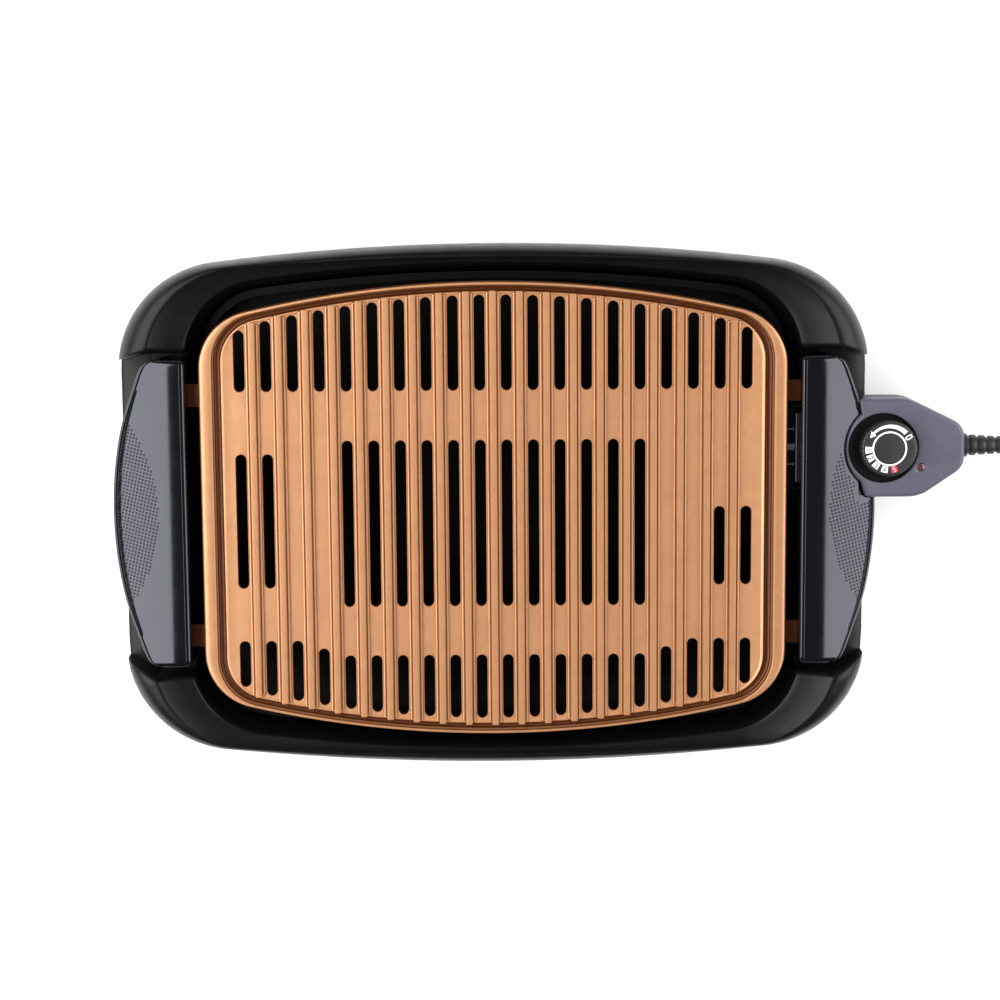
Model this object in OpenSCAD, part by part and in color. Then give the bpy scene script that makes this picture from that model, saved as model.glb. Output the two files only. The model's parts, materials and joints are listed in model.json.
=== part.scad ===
// Electric griddle: a ribbed, slotted cast plate with two cool-touch handles,
// standing in a plastic base over a drip tray, heated by a cast-in element
// and run from a plug-in probe control with a dial.
// X runs along the long side, Y across it, Z up. The griddle stands on Z = 0.

/* [Cooking plate] */
// Half of the plate's length, in mm
plate_half_x = 165.3; // [160:0.1:168]
// Half of the plate's width at its middle, in mm
plate_half_y = 129; // [126:0.5:130]
// Height of the plate's rim above the table, in mm
plate_top = 68; // [68:0.5:70]
// Distance from one slot to the next, in mm
slot_pitch = 15; // [14.6:0.1:15.1]
// Width of a slot, in mm
slot_w = 6; // [5:0.1:6.2]
// Columns of slots
slot_columns = 20; // [20]

/* [Base] */
// Half of the base's length, in mm
base_half_x = 213.2; // [212.2:0.2:214]
// Half of the base's width at its middle, in mm
base_half_y = 149.6; // [148.6:0.2:150.6]
// Height of the rim at the middle of the long sides, in mm
rim_z = 61; // [58:0.5:63]
// Height of the corner shoulders, in mm
shoulder_z = 67; // [65:0.5:69]
// Wall thickness of the base, in mm
base_wall = 2.6; // [2.2:0.1:3]

/* [Handles] */
// Half of a handle's length, in mm
handle_half_y = 88.5; // [86:0.5:89]
// Height of the handles' tops, in mm
handle_top = 74; // [73:0.5:76]
// How far a handle bulges from the griddle's middle, in mm
handle_reach = 216; // [215:0.2:217]

/* [Control] */
// Where the probe and the control's middle line lie across the griddle, in mm
control_y = 34; // [33:0.5:35]
// Radius of the dial, in mm
dial_r = 16.2; // [15:0.1:17]
// Length of the control from the dial's middle to its cord end, in mm
control_tail = 43; // [42:0.5:45]

/* [Cord] */
// Diameter of the power cord, in mm
cord_d = 7; // [6.5:0.1:7.5]

/* [Hidden] */
eps = 0.01;

// Outlines: [half length, half width, radius of the long sides, corner radius]
base_outer = [base_half_x, base_half_y, 1320, 62];
base_crest = [base_half_x - 18.2, base_half_y - 7, 2000, 55];
base_inner = [base_half_x - 39.2, base_half_y - 10.2, 1000, 45];
plate_outer = [plate_half_x, plate_half_y, 610, 33];
moat_outer = [plate_half_x - 7.9, plate_half_y - 2.3, 600, 27];
moat_inner = [plate_half_x - 12.4, plate_half_y - 5.6, 590, 24];
corner_steps = 9;
side_steps = 8;

function inset(o, d) = [o[0] - d, o[1] - d, o[2] - d, o[3] - d];
function arc_mid_y(o) = o[1] - o[2];
function corner_y(o) = arc_mid_y(o) + sqrt(pow(o[2] - o[3], 2) - pow(o[0] - o[3], 2));
function corner_end(o) = atan2(corner_y(o) - arc_mid_y(o), o[0] - o[3]);
function corner_point(o, a) = [o[0] - o[3] + o[3] * cos(a), corner_y(o) + o[3] * sin(a)];
function long_side_y(o, x) = arc_mid_y(o) + sqrt(pow(o[2], 2) - x * x);
// Height of an outline above the X axis at x, for x on a corner or a long side
function outline_y(o, x) = x > corner_point(o, corner_end(o))[0]
  ? corner_y(o) + sqrt(pow(o[3], 2) - pow(x - o[0] + o[3], 2))
  : long_side_y(o, x);
function quarter(o) = concat(
  [for (i = [0:corner_steps]) corner_point(o, corner_end(o) * i / corner_steps)],
  [for (i = [1:side_steps])
    let (x = corner_point(o, corner_end(o))[0] * (1 - i / side_steps)) [x, long_side_y(o, x)]]);
function flipped(list, sx, sy, skip) =
  [for (i = [len(list) - 1 - skip:-1:0]) [sx * list[i][0], sy * list[i][1]]];
function scaled(list, sx, sy, skip) =
  [for (i = [0:len(list) - 1 - skip]) [sx * list[i][0], sy * list[i][1]]];
function outline(o) = let (q = quarter(o)) concat(
  q, flipped(q, -1, 1, 1), scaled(q, -1, -1, 0), flipped(q, 1, -1, 1));
function arc(c, r, from, to, steps) =
  [for (i = [0:steps]) let (a = from + (to - from) * i / steps) c + r * [cos(a), sin(a)]];
function mix(a, b, t) = a * (1 - t) + b * t;

// A closed skin over rings of points, each ring a closed loop; the rings close on
// themselves when joined is true and are capped at both ends when it isn't.
module skin(rings, joined) {
  n = len(rings[0]);
  count = len(rings);
  last = joined ? count - 1 : count - 2;
  sides = [for (i = [0:last]) for (k = [0:n - 1]) let (j = (i + 1) % count, m = (k + 1) % n)
    each [[i * n + k, j * n + m, j * n + k], [i * n + k, i * n + m, j * n + m]]];
  caps = joined ? [] : [
    [for (k = [n - 1:-1:0]) k],
    [for (k = [0:n - 1]) (count - 1) * n + k]];
  polyhedron([for (ring = rings) each ring], concat(sides, caps), convexity = 8);
}

// ---- Base ----
floor_z = 10;
floor_t = 3;
skirt_z = 3;
wide_z = 44;
ledge_z = 40;
recess_mid_y = -3.4;
recess_half_y = 93.5;
step_face = 0.3;
// Rings along a quarter of the base: each is [place, kind], where place is a height
// along Y on the short side, a share of the corner, or a share of the long side
shoulder_start = 100;
function short_side_point(o, y) = y <= corner_y(o)
  ? [o[0], y] : [o[0] - o[3] + sqrt(pow(o[3], 2) - pow(y - corner_y(o), 2)), y];
function ring_point(o, place, kind) = kind == 0 ? short_side_point(o, place)
  : kind == 1
    ? let (a = asin((shoulder_start - corner_y(o)) / o[3]))
      corner_point(o, mix(a, corner_end(o), place))
    : let (x = corner_point(o, corner_end(o))[0] * (1 - place)) [x, long_side_y(o, x)];
// How far the rim has risen from its height on the long side to the shoulders
function rise(place, kind) = kind == 0 ? 1 : kind == 1 ? 1 - 0.55 * place * place
  : 0.45 * pow(1 - place, 2);
// One cross-section: up the outside, over the crest, down the inside and back
// beneath; low_out and low_in say whether that face is in a handle's recess
function base_ring(place, kind, low_out, low_in, sx, sy) =
  let (
    crest = mix(rim_z, shoulder_z, rise(place, kind)),
    lip = crest - mix(3.5, 7, rise(place, kind)),
    t = base_wall,
    face = function (o, d, z) let (p = ring_point(inset(o, d), place, kind)) [sx * p[0], sy * p[1], z],
    arch = function (a, d, top, low)
      let (p = mix(ring_point(inset(base_outer, d), place, kind),
                   ring_point(base_crest, place, kind), 1 - cos(a)))
      [sx * p[0], sy * p[1], low + (top - low) * sin(a)],
    side = low_out ? ledge_z - 4 : wide_z,
    top = low_out ? ledge_z : crest,
    side_in = (low_in ? ledge_z - 4 : wide_z) - 0.4 * t,
    top_in = (low_in ? ledge_z : crest) - t,
    edge = low_out ? ledge_z : lip,
    edge_in = (low_in ? ledge_z : lip) - t)
  [face(base_outer, 11, skirt_z), face(base_outer, 5.5, 18), face(base_outer, 2, 30),
   face(base_outer, 0, side), arch(20, 0, top, side), arch(40, 0, top, side),
   arch(58, 0, top, side), arch(75, 0, top, side), arch(90, 0, top, side),
   face(base_inner, 0, edge), face(base_inner, 1.2, edge - 1.4),
   face(base_inner, 7, floor_z + floor_t), face(base_inner, 7 - t, floor_z),
   face(base_inner, 1.2 - t, edge_in - 1.4), face(base_inner, -t, edge_in - 0.4),
   arch(90, t, top_in, side_in), arch(58, t, top_in, side_in), arch(25, t, top_in, side_in),
   face(base_outer, t, side_in), face(base_outer, 2 + t, 29),
   face(base_outer, 5.5 + t, 18), face(base_outer, 11 + t, skirt_z)];
// The rings of a quarter, from the X axis to the Y axis
function base_quarter(sx, sy) =
  let (step = recess_half_y + sy * recess_mid_y, r = function (p, k, a, b) base_ring(p, k, a, b, sx, sy))
  concat(
    [for (y = [0, 35, 70, step - step_face]) r(y, 0, true, true)],
    [r(step, 0, false, true), r(step + base_wall, 0, false, false)],
    [for (i = [0:corner_steps]) r(i / corner_steps, 1, false, false)],
    [for (i = [1:side_steps]) r(i / side_steps, 2, false, false)]);
function reversed(list, first, last) = [for (i = [last:-1:first]) list[i]];
base_rings = let (
    a = base_quarter(1, 1), b = base_quarter(-1, 1),
    c = base_quarter(-1, -1), d = base_quarter(1, -1), n = len(a))
  concat(a, reversed(b, 0, n - 2), [for (i = [1:n - 1]) c[i]], reversed(d, 1, n - 2));

foot_x = 148;
foot_y = 98;
foot_r = 9;
foot_places = [[foot_x, foot_y], [-foot_x, foot_y], [-foot_x, -foot_y], [foot_x, -foot_y]];
screw_r = 1.6;
screw_gap = 0.05;
rib_count = 5;

module base_floor() {
  translate([0, 0, floor_z]) linear_extrude(floor_t) polygon(outline(inset(base_inner, 5.6)));
  for (p = foot_places) translate([p[0], p[1], skirt_z])
    cylinder(r = foot_r + 3, h = floor_z - skirt_z + eps, $fn = 48);
  for (i = [0:rib_count - 1]) translate([-130 + i * 65 - 1, -105, 6]) cube([2, 210, 4.5]);
  for (y = [-45, 45]) translate([-155, y - 1, 6]) cube([310, 2, 4.5]);
}

module base_housing() {
  color("#1c1d20") difference() {
    union() {
      skin(base_rings, true);
      base_floor();
    }
    for (p = foot_places) translate([p[0], p[1], 0]) {
      cylinder(r = foot_r + 0.2, h = 6, $fn = 48);
      cylinder(r = screw_r, h = 12, $fn = 24);
    }
  }
}

module rubber_foot(i) {
  p = foot_places[i - 1];
  color("#2a2a2a") translate([p[0], p[1], 0]) rotate_extrude($fn = 48) polygon([
    [4, 0], [foot_r - 1.5, 0], [foot_r - 0.5, 1], [foot_r, 3], [foot_r, 6], [2, 6], [2, 2.6],
    [4, 2.6]]);
}

module foot_screw(i) {
  p = foot_places[i - 1];
  color("silver") translate([p[0], p[1], 0]) rotate_extrude($fn = 32) polygon([
    [0, 0.9], [2.6, 0.9], [3.4, 1.7], [3.4, 2.6], [screw_r - screw_gap, 2.6],
    [screw_r - screw_gap, 11], [0, 12]]);
}

// ---- Drip tray ----
tray_z = floor_z + floor_t + 0.3;
tray_h = 21;
tray_t = 1.2;
tray_outer = inset(base_inner, 8.8);

module drip_tray() {
  color("#303134") {
    difference() {
      translate([0, 0, tray_z]) linear_extrude(tray_h) polygon(outline(tray_outer));
      translate([0, 0, tray_z + tray_t]) linear_extrude(tray_h) polygon(outline(inset(tray_outer, tray_t)));
    }
    difference() {
      translate([0, 0, tray_z + tray_h - tray_t]) linear_extrude(tray_t)
        polygon(outline(inset(tray_outer, -3)));
      translate([0, 0, tray_z + 1]) linear_extrude(tray_h) polygon(outline(inset(tray_outer, tray_t)));
    }
    for (i = [-3:3]) translate([i * 36 - 4, -95, tray_z + tray_t - eps]) cube([8, 190, 1.2]);
  }
}

// ---- Cooking plate ----
crest_z = plate_top + 0.2;
ledge_top = plate_top - 1.8;
field_z = plate_top - 3.4;
moat_z = plate_top - 5.7;
plate_under = plate_top - 7.7;
plate_skirt = plate_top - 15;
element_z = plate_top - 12;
element_r = 4;
crest_half = 1.7;
ledge_half = 3.7;
// Rows of slots, as [lower end, upper end, first column, last column]; an end of 0
// in the outer rows follows the plate's edge
upper_row_y = 67.9;
lower_row_y = [-74.8, -74.8, -74.8, -79.4];
lower_row_mid = -83.5;
middle_rows = [[-55.1, 39.8, 4, 15], [-44.1, 32.4, 0, 1], [-43.6, 1.1, 18, 19]];
upper_margin = 2;
lower_margin = 3.2;

function column_x(i) = (i - (slot_columns - 1) / 2) * slot_pitch;
function edge_column(i) = min(i, slot_columns - 1 - i);
function lower_start(i) = edge_column(i) < len(lower_row_y) ? lower_row_y[edge_column(i)] : lower_row_mid;

module slot(x, y0, y1) {
  r = slot_w / 2;
  translate([x - r, y0 + r]) square([slot_w, y1 - y0 - slot_w]);
  translate([x, y0 + r]) circle(r, $fn = 24);
  translate([x, y1 - r]) circle(r, $fn = 24);
}

module slots() {
  for (i = [0:slot_columns - 1]) {
    x = column_x(i);
    edge = outline_y(moat_inner, abs(x));
    slot(x, upper_row_y, edge - upper_margin);
    slot(x, -edge + lower_margin, lower_start(i));
  }
  for (row = middle_rows) for (i = [row[2]:row[3]]) slot(column_x(i), row[0], row[1]);
}

module ring(outer, inner) {
  difference() {
    polygon(outline(outer));
    polygon(outline(inner));
  }
}

module rounded(x, y, r) {
  square([2 * x - 2 * r, 2 * y], center = true);
  square([2 * x, 2 * y - 2 * r], center = true);
  for (i = [-1, 1]) for (j = [-1, 1]) translate([i * (x - r), j * (y - r)]) circle(r, $fn = 32);
}

// The element's loop: its straight runs' places, and the radius of its corners
loop_x = 105;
loop_top = 52.5;
loop_low = -69;
loop_r = 20;
leg_gap = 10;
leg_end = 160;
boss_half = 7.5;
loop_mid = (loop_top + loop_low) / 2;
loop_half = (loop_top - loop_low) / 2;

module element_run(from, to, r) {
  run = to - from;
  translate([from[0], from[1], element_z]) rotate([0, 0, atan2(run[1], run[0])])
    rotate([0, 90, 0]) cylinder(r = r, h = norm(run), $fn = 32);
}

module element_bend(c, from, turn, r) {
  translate([c[0], c[1], element_z]) rotate([0, 0, from])
    rotate_extrude(angle = turn, $fn = 64) translate([loop_r, 0]) circle(r, $fn = 32);
}

// The S-bend that brings the upper leg in line with the terminals
shift_y = loop_top - control_y - leg_gap;
shift_a = acos(1 - shift_y / (2 * loop_r));
shift_x = 2 * loop_r * sin(shift_a);
bend_x = 130;

module element_path(r) {
  union() {
    element_run([bend_x, control_y + leg_gap], [leg_end, control_y + leg_gap], r);
    element_bend([bend_x, control_y + leg_gap + loop_r], -90 - shift_a, shift_a, r);
    element_bend([bend_x - shift_x, loop_top - loop_r], 90 - shift_a, shift_a, r);
    element_run([loop_r - loop_x, loop_top], [bend_x - shift_x, loop_top], r);
    element_bend([loop_r - loop_x, loop_top - loop_r], 90, 90, r);
    element_run([-loop_x, loop_low + loop_r], [-loop_x, loop_top - loop_r], r);
    element_bend([loop_r - loop_x, loop_low + loop_r], 180, 90, r);
    element_run([loop_r - loop_x, loop_low], [loop_x - loop_r, loop_low], r);
    element_bend([loop_x - loop_r, loop_low + loop_r], -90, 90, r);
    element_run([loop_x, loop_low + loop_r], [loop_x, control_y - leg_gap - loop_r], r);
    element_bend([loop_x + loop_r, control_y - leg_gap - loop_r], 90, 90, r);
    element_run([loop_x + loop_r, control_y - leg_gap], [leg_end, control_y - leg_gap], r);
  }
}

probe_r = 4;
probe_tip = 128;
probe_gap = 0.3;
window_half = 26;
lug_x = 182;
lug_half = 6.5;
lug_t = 5;
lug_z = plate_skirt;
lug_top = lug_z + lug_t;
lug_off = 69;
lug_places = [[-lug_x, recess_mid_y + lug_off], [-lug_x, recess_mid_y - lug_off],
  [lug_x, recess_mid_y + lug_off], [lug_x, recess_mid_y - lug_off]];

module plate_lug(p) {
  s = sign(p[0]);
  translate([min(s * (plate_half_x - 2), s * lug_x), p[1] - lug_half, lug_z])
    cube([lug_x - plate_half_x + 2, 2 * lug_half, lug_t]);
  translate([p[0], p[1], lug_z]) cylinder(r = lug_half, h = lug_t, $fn = 48);
}

module grill_plate() {
  color("#b87333") difference() {
    union() {
      translate([0, 0, plate_under]) linear_extrude(moat_z - plate_under) polygon(outline(plate_outer));
      translate([0, 0, plate_under]) linear_extrude(plate_top - 0.7 - plate_under)
        ring(plate_outer, moat_outer);
      translate([0, 0, plate_under]) linear_extrude(plate_top - plate_under)
        ring(inset(plate_outer, 0.7), inset(moat_outer, -0.7));
      translate([0, 0, plate_under]) linear_extrude(field_z - plate_under) polygon(outline(moat_inner));
      for (i = [0:slot_columns - 2]) {
        x = column_x(i) + slot_pitch / 2;
        end = min(outline_y(moat_inner, abs(x) + ledge_half), outline_y(moat_inner, abs(x) + crest_half));
        translate([x - ledge_half, -end, plate_under]) cube([2 * ledge_half, 2 * end, ledge_top - plate_under]);
        translate([x - crest_half, -end - 1, plate_under])
          cube([2 * crest_half, 2 * end + 2, crest_z - plate_under]);
      }
      translate([0, 0, plate_skirt]) linear_extrude(plate_under - plate_skirt + eps)
        ring(plate_outer, inset(plate_outer, 3.5));
      translate([0, loop_mid, element_z - 1]) linear_extrude(plate_under - element_z + 1 + eps)
        difference() {
          rounded(loop_x + boss_half, loop_half + boss_half, loop_r + boss_half);
          rounded(loop_x - boss_half, loop_half - boss_half, loop_r - boss_half);
        }
      translate([loop_x - boss_half, control_y - leg_gap - boss_half, element_z - 5.5])
        cube([leg_end - loop_x + boss_half, 2 * (leg_gap + boss_half), plate_under - element_z + 5.5 + eps]);
      for (p = lug_places) plate_lug(p);
    }
    translate([0, 0, plate_skirt - 5]) linear_extrude(plate_top) slots();
    element_path(element_r);
    translate([probe_tip - 4, control_y, element_z]) rotate([0, 90, 0])
      cylinder(r = probe_r + probe_gap, h = 60, $fn = 48);
    translate([leg_end, control_y - window_half, plate_skirt - 5])
      cube([20, 2 * window_half, plate_under - plate_skirt + 5]);
    for (p = lug_places) translate([p[0], p[1], lug_z - 1]) cylinder(r = 2.2, h = lug_t + 2, $fn = 32);
  }
}

module heating_element() {
  color("#6f7276") difference() {
    element_path(element_r);
    for (y = [-leg_gap, leg_gap]) translate([leg_end - 12, control_y + y, element_z])
      rotate([0, 90, 0]) cylinder(r = 3, h = 13, $fn = 32);
  }
}

pin_r = 2.4;
pin_end = 196;
pin_ys = [control_y + leg_gap, control_y - leg_gap];

module terminal_pin(i) {
  color("#c8c9c4") translate([leg_end - 11, pin_ys[i - 1], element_z]) rotate([0, 90, 0])
    rotate_extrude($fn = 40) polygon([
      [0, 0], [pin_r, 0], [pin_r, pin_end - leg_end + 9], [pin_r - 1, pin_end - leg_end + 11],
      [0, pin_end - leg_end + 11]]);
}

module terminal_insulator(i) {
  color("#e8e3d8") translate([leg_end - 11, pin_ys[i - 1], element_z]) rotate([0, 90, 0])
    rotate_extrude($fn = 40) polygon([
      [pin_r, 0], [3, 0], [3, 11], [3.9, 11], [3.9, 16], [3, 17], [pin_r, 17]]);
}

guard_half = 24;
guard_t = 1;
guard_end = 182;
guard_roof = 169.3;
guard_low = element_z - 11;

module terminal_guard() {
  wall_h = plate_under - guard_low - 0.3;
  color("#26272a") difference() {
    translate([leg_end + 0.2, control_y - guard_half, guard_low]) union() {
      cube([guard_t, 2 * guard_half, wall_h]);
      cube([guard_end - leg_end, 2 * guard_half, guard_t]);
      for (y = [0, 2 * guard_half - guard_t]) translate([0, y, 0])
        cube([guard_end - leg_end, guard_t, wall_h]);
      translate([0, 0, wall_h - guard_t]) cube([guard_roof - leg_end, 2 * guard_half, guard_t]);
    }
    for (y = pin_ys) translate([leg_end - 1, y, element_z]) rotate([0, 90, 0])
      cylinder(r = 4.1, h = guard_end - leg_end, $fn = 32);
    translate([leg_end - 1, control_y, element_z]) rotate([0, 90, 0])
      cylinder(r = probe_r + 0.6, h = guard_end - leg_end, $fn = 32);
  }
}

// ---- Handles ----
handle_in = 172.5;
handle_bottom = ledge_z + 1.8;
handle_corner = 196;
handle_knee_x = 209;
handle_knee_y = 53;
handle_wall = 3;
bulge_sag = handle_reach - handle_knee_x;
bulge_r = (pow(handle_knee_y, 2) + pow(bulge_sag, 2)) / (2 * bulge_sag);
// Outer edge of a handle at a distance v from its middle
function handle_out(v) = abs(v) < handle_knee_y
  ? handle_reach - bulge_r + sqrt(pow(bulge_r, 2) - v * v)
  : mix(handle_knee_x, handle_corner, (abs(v) - handle_knee_y) / (handle_half_y - handle_knee_y));
// Cross-section at v: a domed top that falls to the outer edge, lower by end_drop at the ends
function handle_ring(v, end_drop, sx) =
  let (out = handle_out(v), in = handle_in, top = handle_top - end_drop, w = out - in, low = handle_bottom,
       y = recess_mid_y + v,
       pts = [[out - 1.5, low], [out, low + 6], [out, top - 17], [out - 0.06 * w, top - 12.5],
         [out - 0.17 * w, top - 8.5], [out - 0.32 * w, top - 5], [out - 0.48 * w, top - 2.6],
         [out - 0.64 * w, top - 1.1], [out - 0.8 * w, top - 0.3], [in + 4, top],
         [in + 3.4, top - 0.9], [in + 1, top - 1.1], [in, top - 2], [in, low]])
  sx > 0 ? [for (p = pts) [p[0], y, p[1]]] : [for (i = [len(pts) - 1:-1:0]) [-pts[i][0], y, pts[i][1]]];
handle_stations = [for (i = [0:14]) -handle_half_y + 2 + i * (2 * handle_half_y - 4) / 14];
// The hollow beneath a handle, in steps that follow the dome: [inset from the outer edge, roof height]
cavity_steps = [[handle_wall, handle_top - 20], [9, handle_top - 12], [17, handle_top - 6.5],
  [24, handle_top - handle_wall]];

spacer_t = 2;
boss_top = handle_top - 2;
boss_low = lug_top + spacer_t;

module handle_bosses(sx) {
  for (p = lug_places) if (sign(p[0]) == sx) translate([p[0], p[1], boss_low])
    cylinder(r = 5, h = boss_top - boss_low, $fn = 40);
}

module handle_cavity(sx) {
  for (step = cavity_steps) translate([0, recess_mid_y, handle_bottom - 1]) let (
      end = handle_half_y - 1 - step[0])
    linear_extrude(step[1] - handle_bottom + 1) polygon(concat(
      [[sx * (handle_in + handle_wall), -end]],
      [for (i = [0:12]) let (v = -end + i * end / 6) [sx * (handle_out(v) - step[0]), v]],
      [[sx * (handle_in + handle_wall), end]]));
}

module handle_shell(sx) {
  difference() {
    skin(concat([handle_ring(-handle_half_y, 2.2, sx)],
                [for (v = handle_stations) handle_ring(v, 0, sx)],
                [handle_ring(handle_half_y, 2.2, sx)]), false);
    difference() {
      handle_cavity(sx);
      handle_bosses(sx);
    }
  }
}

module boss_holes() {
  for (p = lug_places) translate([p[0], p[1], boss_low - 1]) cylinder(r = screw_r, h = 9, $fn = 24);
}

// Room for the plate's lugs to pass through a handle's inner wall
module lug_windows() {
  for (p = lug_places) translate([p[0] - (p[0] > 0 ? 10 : -10) - 10, p[1] - lug_half - 0.5, handle_bottom - 1])
    cube([20, 2 * lug_half + 1, lug_top + spacer_t - handle_bottom + 1.5]);
}

module left_handle() {
  color("#6f7080") difference() {
    handle_shell(-1);
    boss_holes();
    lug_windows();
  }
}

dial_x = 222;
nose_r = 24.5;
scoop_gap = 1;
tunnel_half = 27;
tunnel_top = plate_under + 5.5;

module right_handle() {
  color("#6f7080") difference() {
    handle_shell(1);
    boss_holes();
    lug_windows();
    translate([dial_x, control_y, ledge_z - 1]) cylinder(r = nose_r + scoop_gap, h = 50, $fn = 64);
    translate([dial_x - 17, control_y - 29.5, ledge_z - 1]) cube([30, 59, 50]);
    translate([handle_in - 5, control_y - tunnel_half, ledge_z - 1])
      cube([60, 2 * tunnel_half, tunnel_top - ledge_z + 1]);
  }
}

module handle_spacer(i) {
  p = lug_places[i - 1];
  color("#8a8478") translate([p[0], p[1], lug_top]) difference() {
    cylinder(r = 5, h = spacer_t, $fn = 40);
    translate([0, 0, -1]) cylinder(r = 2.2, h = spacer_t + 2, $fn = 32);
  }
}

module handle_screw(i) {
  p = lug_places[i - 1];
  color("silver") translate([p[0], p[1], lug_z]) rotate_extrude($fn = 32) polygon([
    [0, -2.2], [2.8, -2.2], [3.8, -1.2], [3.8, 0], [screw_r - screw_gap, 0],
    [screw_r - screw_gap, 13], [0, 14]]);
}

// ---- Control ----
ctrl_low = 42;
ctrl_split = 57;
ctrl_top = 68;
ctrl_wall = 2.2;
ctrl_half = 28;
tail_x = dial_x + control_tail;
tail_half = 8.5;
snout_in = 170;
snout_half = 20;
snout_low = element_z - 8;
snout_high = element_z + 8;
well_r = 19.6;
well_off = 2.9;
well_z = ctrl_top - 3;
// Outline of the control, drawn in by d: round nose, wide body, tapered tail
function ctrl_outline(d) = concat(
  arc([dial_x, control_y], nose_r - d, 233, 127, 16),
  arc([dial_x - 14, control_y + ctrl_half - 4], 4 - d, 130, 90, 3),
  arc([dial_x + 8, control_y + ctrl_half - 12], 12 - d, 90, 62, 4),
  arc([tail_x - 7, control_y + tail_half - 1], 7 - d, 58, 0, 4),
  arc([tail_x - 7, control_y - tail_half + 1], 7 - d, 0, -58, 4),
  arc([dial_x + 14, control_y - ctrl_half + 12], 12 - d, -62, -90, 4),
  arc([dial_x - 10, control_y - ctrl_half + 4], 4 - d, -90, -130, 3));

module ctrl_block(d, z0, z1) {
  translate([0, 0, z0]) linear_extrude(z1 - z0) polygon(ctrl_outline(d));
}

module snout(d) {
  translate([snout_in + d, control_y - snout_half + d, snout_low + d])
    cube([dial_x - snout_in - 10, 2 * snout_half - 2 * d, snout_high - snout_low - 2 * d]);
}

screw_posts = [[dial_x - 8, -20.5], [dial_x - 8, 20.5], [tail_x - 12, 0]];
socket_r = 3.4;
flange_t = 1.5;

module ctrl_cavity() {
  ctrl_block(ctrl_wall, ctrl_low + ctrl_wall, ctrl_top - ctrl_wall - 3.4);
  snout(ctrl_wall);
}

module socket_mouths() {
  for (y = pin_ys) translate([snout_in - 1, y, element_z]) rotate([0, 90, 0])
    cylinder(r = pin_r + 0.5, h = ctrl_wall + 2, $fn = 32);
  translate([snout_in - 1, control_y, element_z]) rotate([0, 90, 0])
    cylinder(r = probe_r, h = ctrl_wall + 2, $fn = 40);
}

cord_exit = tail_x + 32;
collar_r = 5.9;
gland_r = 4.6;

module gland_hole() {
  translate([tail_x - 6, control_y, element_z]) rotate([0, 90, 0])
    cylinder(r = gland_r + 0.05, h = 10, $fn = 40);
}

module control_bottom() {
  color("#55565f") difference() {
    union() {
      difference() {
        union() {
          ctrl_block(1.5, ctrl_low, ctrl_low + 1.5);
          ctrl_block(0, ctrl_low + 1.5, ctrl_split);
          intersection() {
            snout(0);
            translate([100, 0, 0]) cube([200, 100, ctrl_split]);
          }
        }
        ctrl_cavity();
      }
      for (p = screw_posts) translate([p[0], control_y + p[1], ctrl_low + 1])
        cylinder(r = 3.6, h = ctrl_split - ctrl_low - 1, $fn = 32);
    }
    for (p = screw_posts) translate([p[0], control_y + p[1], ctrl_low - 1]) {
      cylinder(r = screw_r + 0.2, h = 30, $fn = 24);
      cylinder(r = 3, h = 4, $fn = 32);
    }
    socket_mouths();
    gland_hole();
  }
}

shaft_r = 3;
shaft_gap = 0.08;
lamp_x = dial_x + 18.5;
lamp_y = -11;
lens_r = 2.2;

module control_top() {
  color("#6f7080") difference() {
    union() {
      difference() {
        union() {
          ctrl_block(0, ctrl_split, ctrl_top - 1.6);
          ctrl_block(0.5, ctrl_split, ctrl_top - 0.6);
          ctrl_block(1.4, ctrl_split, ctrl_top);
          intersection() {
            snout(0);
            translate([100, 0, ctrl_split]) cube([200, 100, 30]);
          }
        }
        ctrl_cavity();
      }
      for (p = screw_posts) translate([p[0], control_y + p[1], ctrl_split])
        cylinder(r = 3.6, h = ctrl_top - 4 - ctrl_split, $fn = 32);
      translate([dial_x, control_y, ctrl_split + 1]) cylinder(r = 6, h = 6, $fn = 40);
    }
    translate([dial_x - well_off, control_y, well_z]) cylinder(r = well_r, h = 10, $fn = 72);
    translate([dial_x, control_y, ctrl_split]) cylinder(r = shaft_r + shaft_gap, h = 20, $fn = 40);
    for (p = screw_posts) translate([p[0], control_y + p[1], ctrl_split - 1])
      cylinder(r = screw_r, h = 6, $fn = 24);
    translate([lamp_x, control_y + lamp_y, ctrl_split + 2]) cylinder(r = lens_r, h = 20, $fn = 32);
    socket_mouths();
    gland_hole();
  }
}

flange_x = snout_in + ctrl_wall;

module sensor_probe() {
  color("#d2d4d6") translate([probe_tip, control_y, element_z]) rotate([0, 90, 0])
    rotate_extrude($fn = 40) polygon([
      [0, 0], [2.4, 0.4], [3.6, 1.6], [probe_r, 4], [probe_r, flange_x - probe_tip + 14],
      [0, flange_x - probe_tip + 14]]);
}

module probe_flange() {
  color("#c0a060") translate([flange_x, control_y, element_z]) rotate([0, 90, 0]) difference() {
    cylinder(r = 5.6, h = flange_t, $fn = 40);
    translate([0, 0, -1]) cylinder(r = probe_r, h = 4, $fn = 40);
  }
}

module contact_socket(i) {
  color("#c9a24b") translate([flange_x + 1, pin_ys[i - 1], element_z]) rotate([0, 90, 0])
    difference() {
      cylinder(r = socket_r, h = 26, $fn = 40);
      translate([0, 0, -1]) cylinder(r = pin_r + 0.06, h = 25, $fn = 40);
    }
}

module thermostat_switch() {
  color("#8c6b45") {
    translate([dial_x - 16, control_y - 6, element_z - 9]) cube([30, 12, 4]);
    translate([dial_x - 16, control_y - 4.5, element_z - 5 - eps]) cube([9, 9, 4]);
    translate([dial_x - 3.5, control_y - 3.5, element_z - 5 - eps]) cube([7, 7, 3]);
    translate([dial_x + 8, control_y - 4, element_z - 5 - eps]) cube([5, 8, 6]);
  }
}

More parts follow.
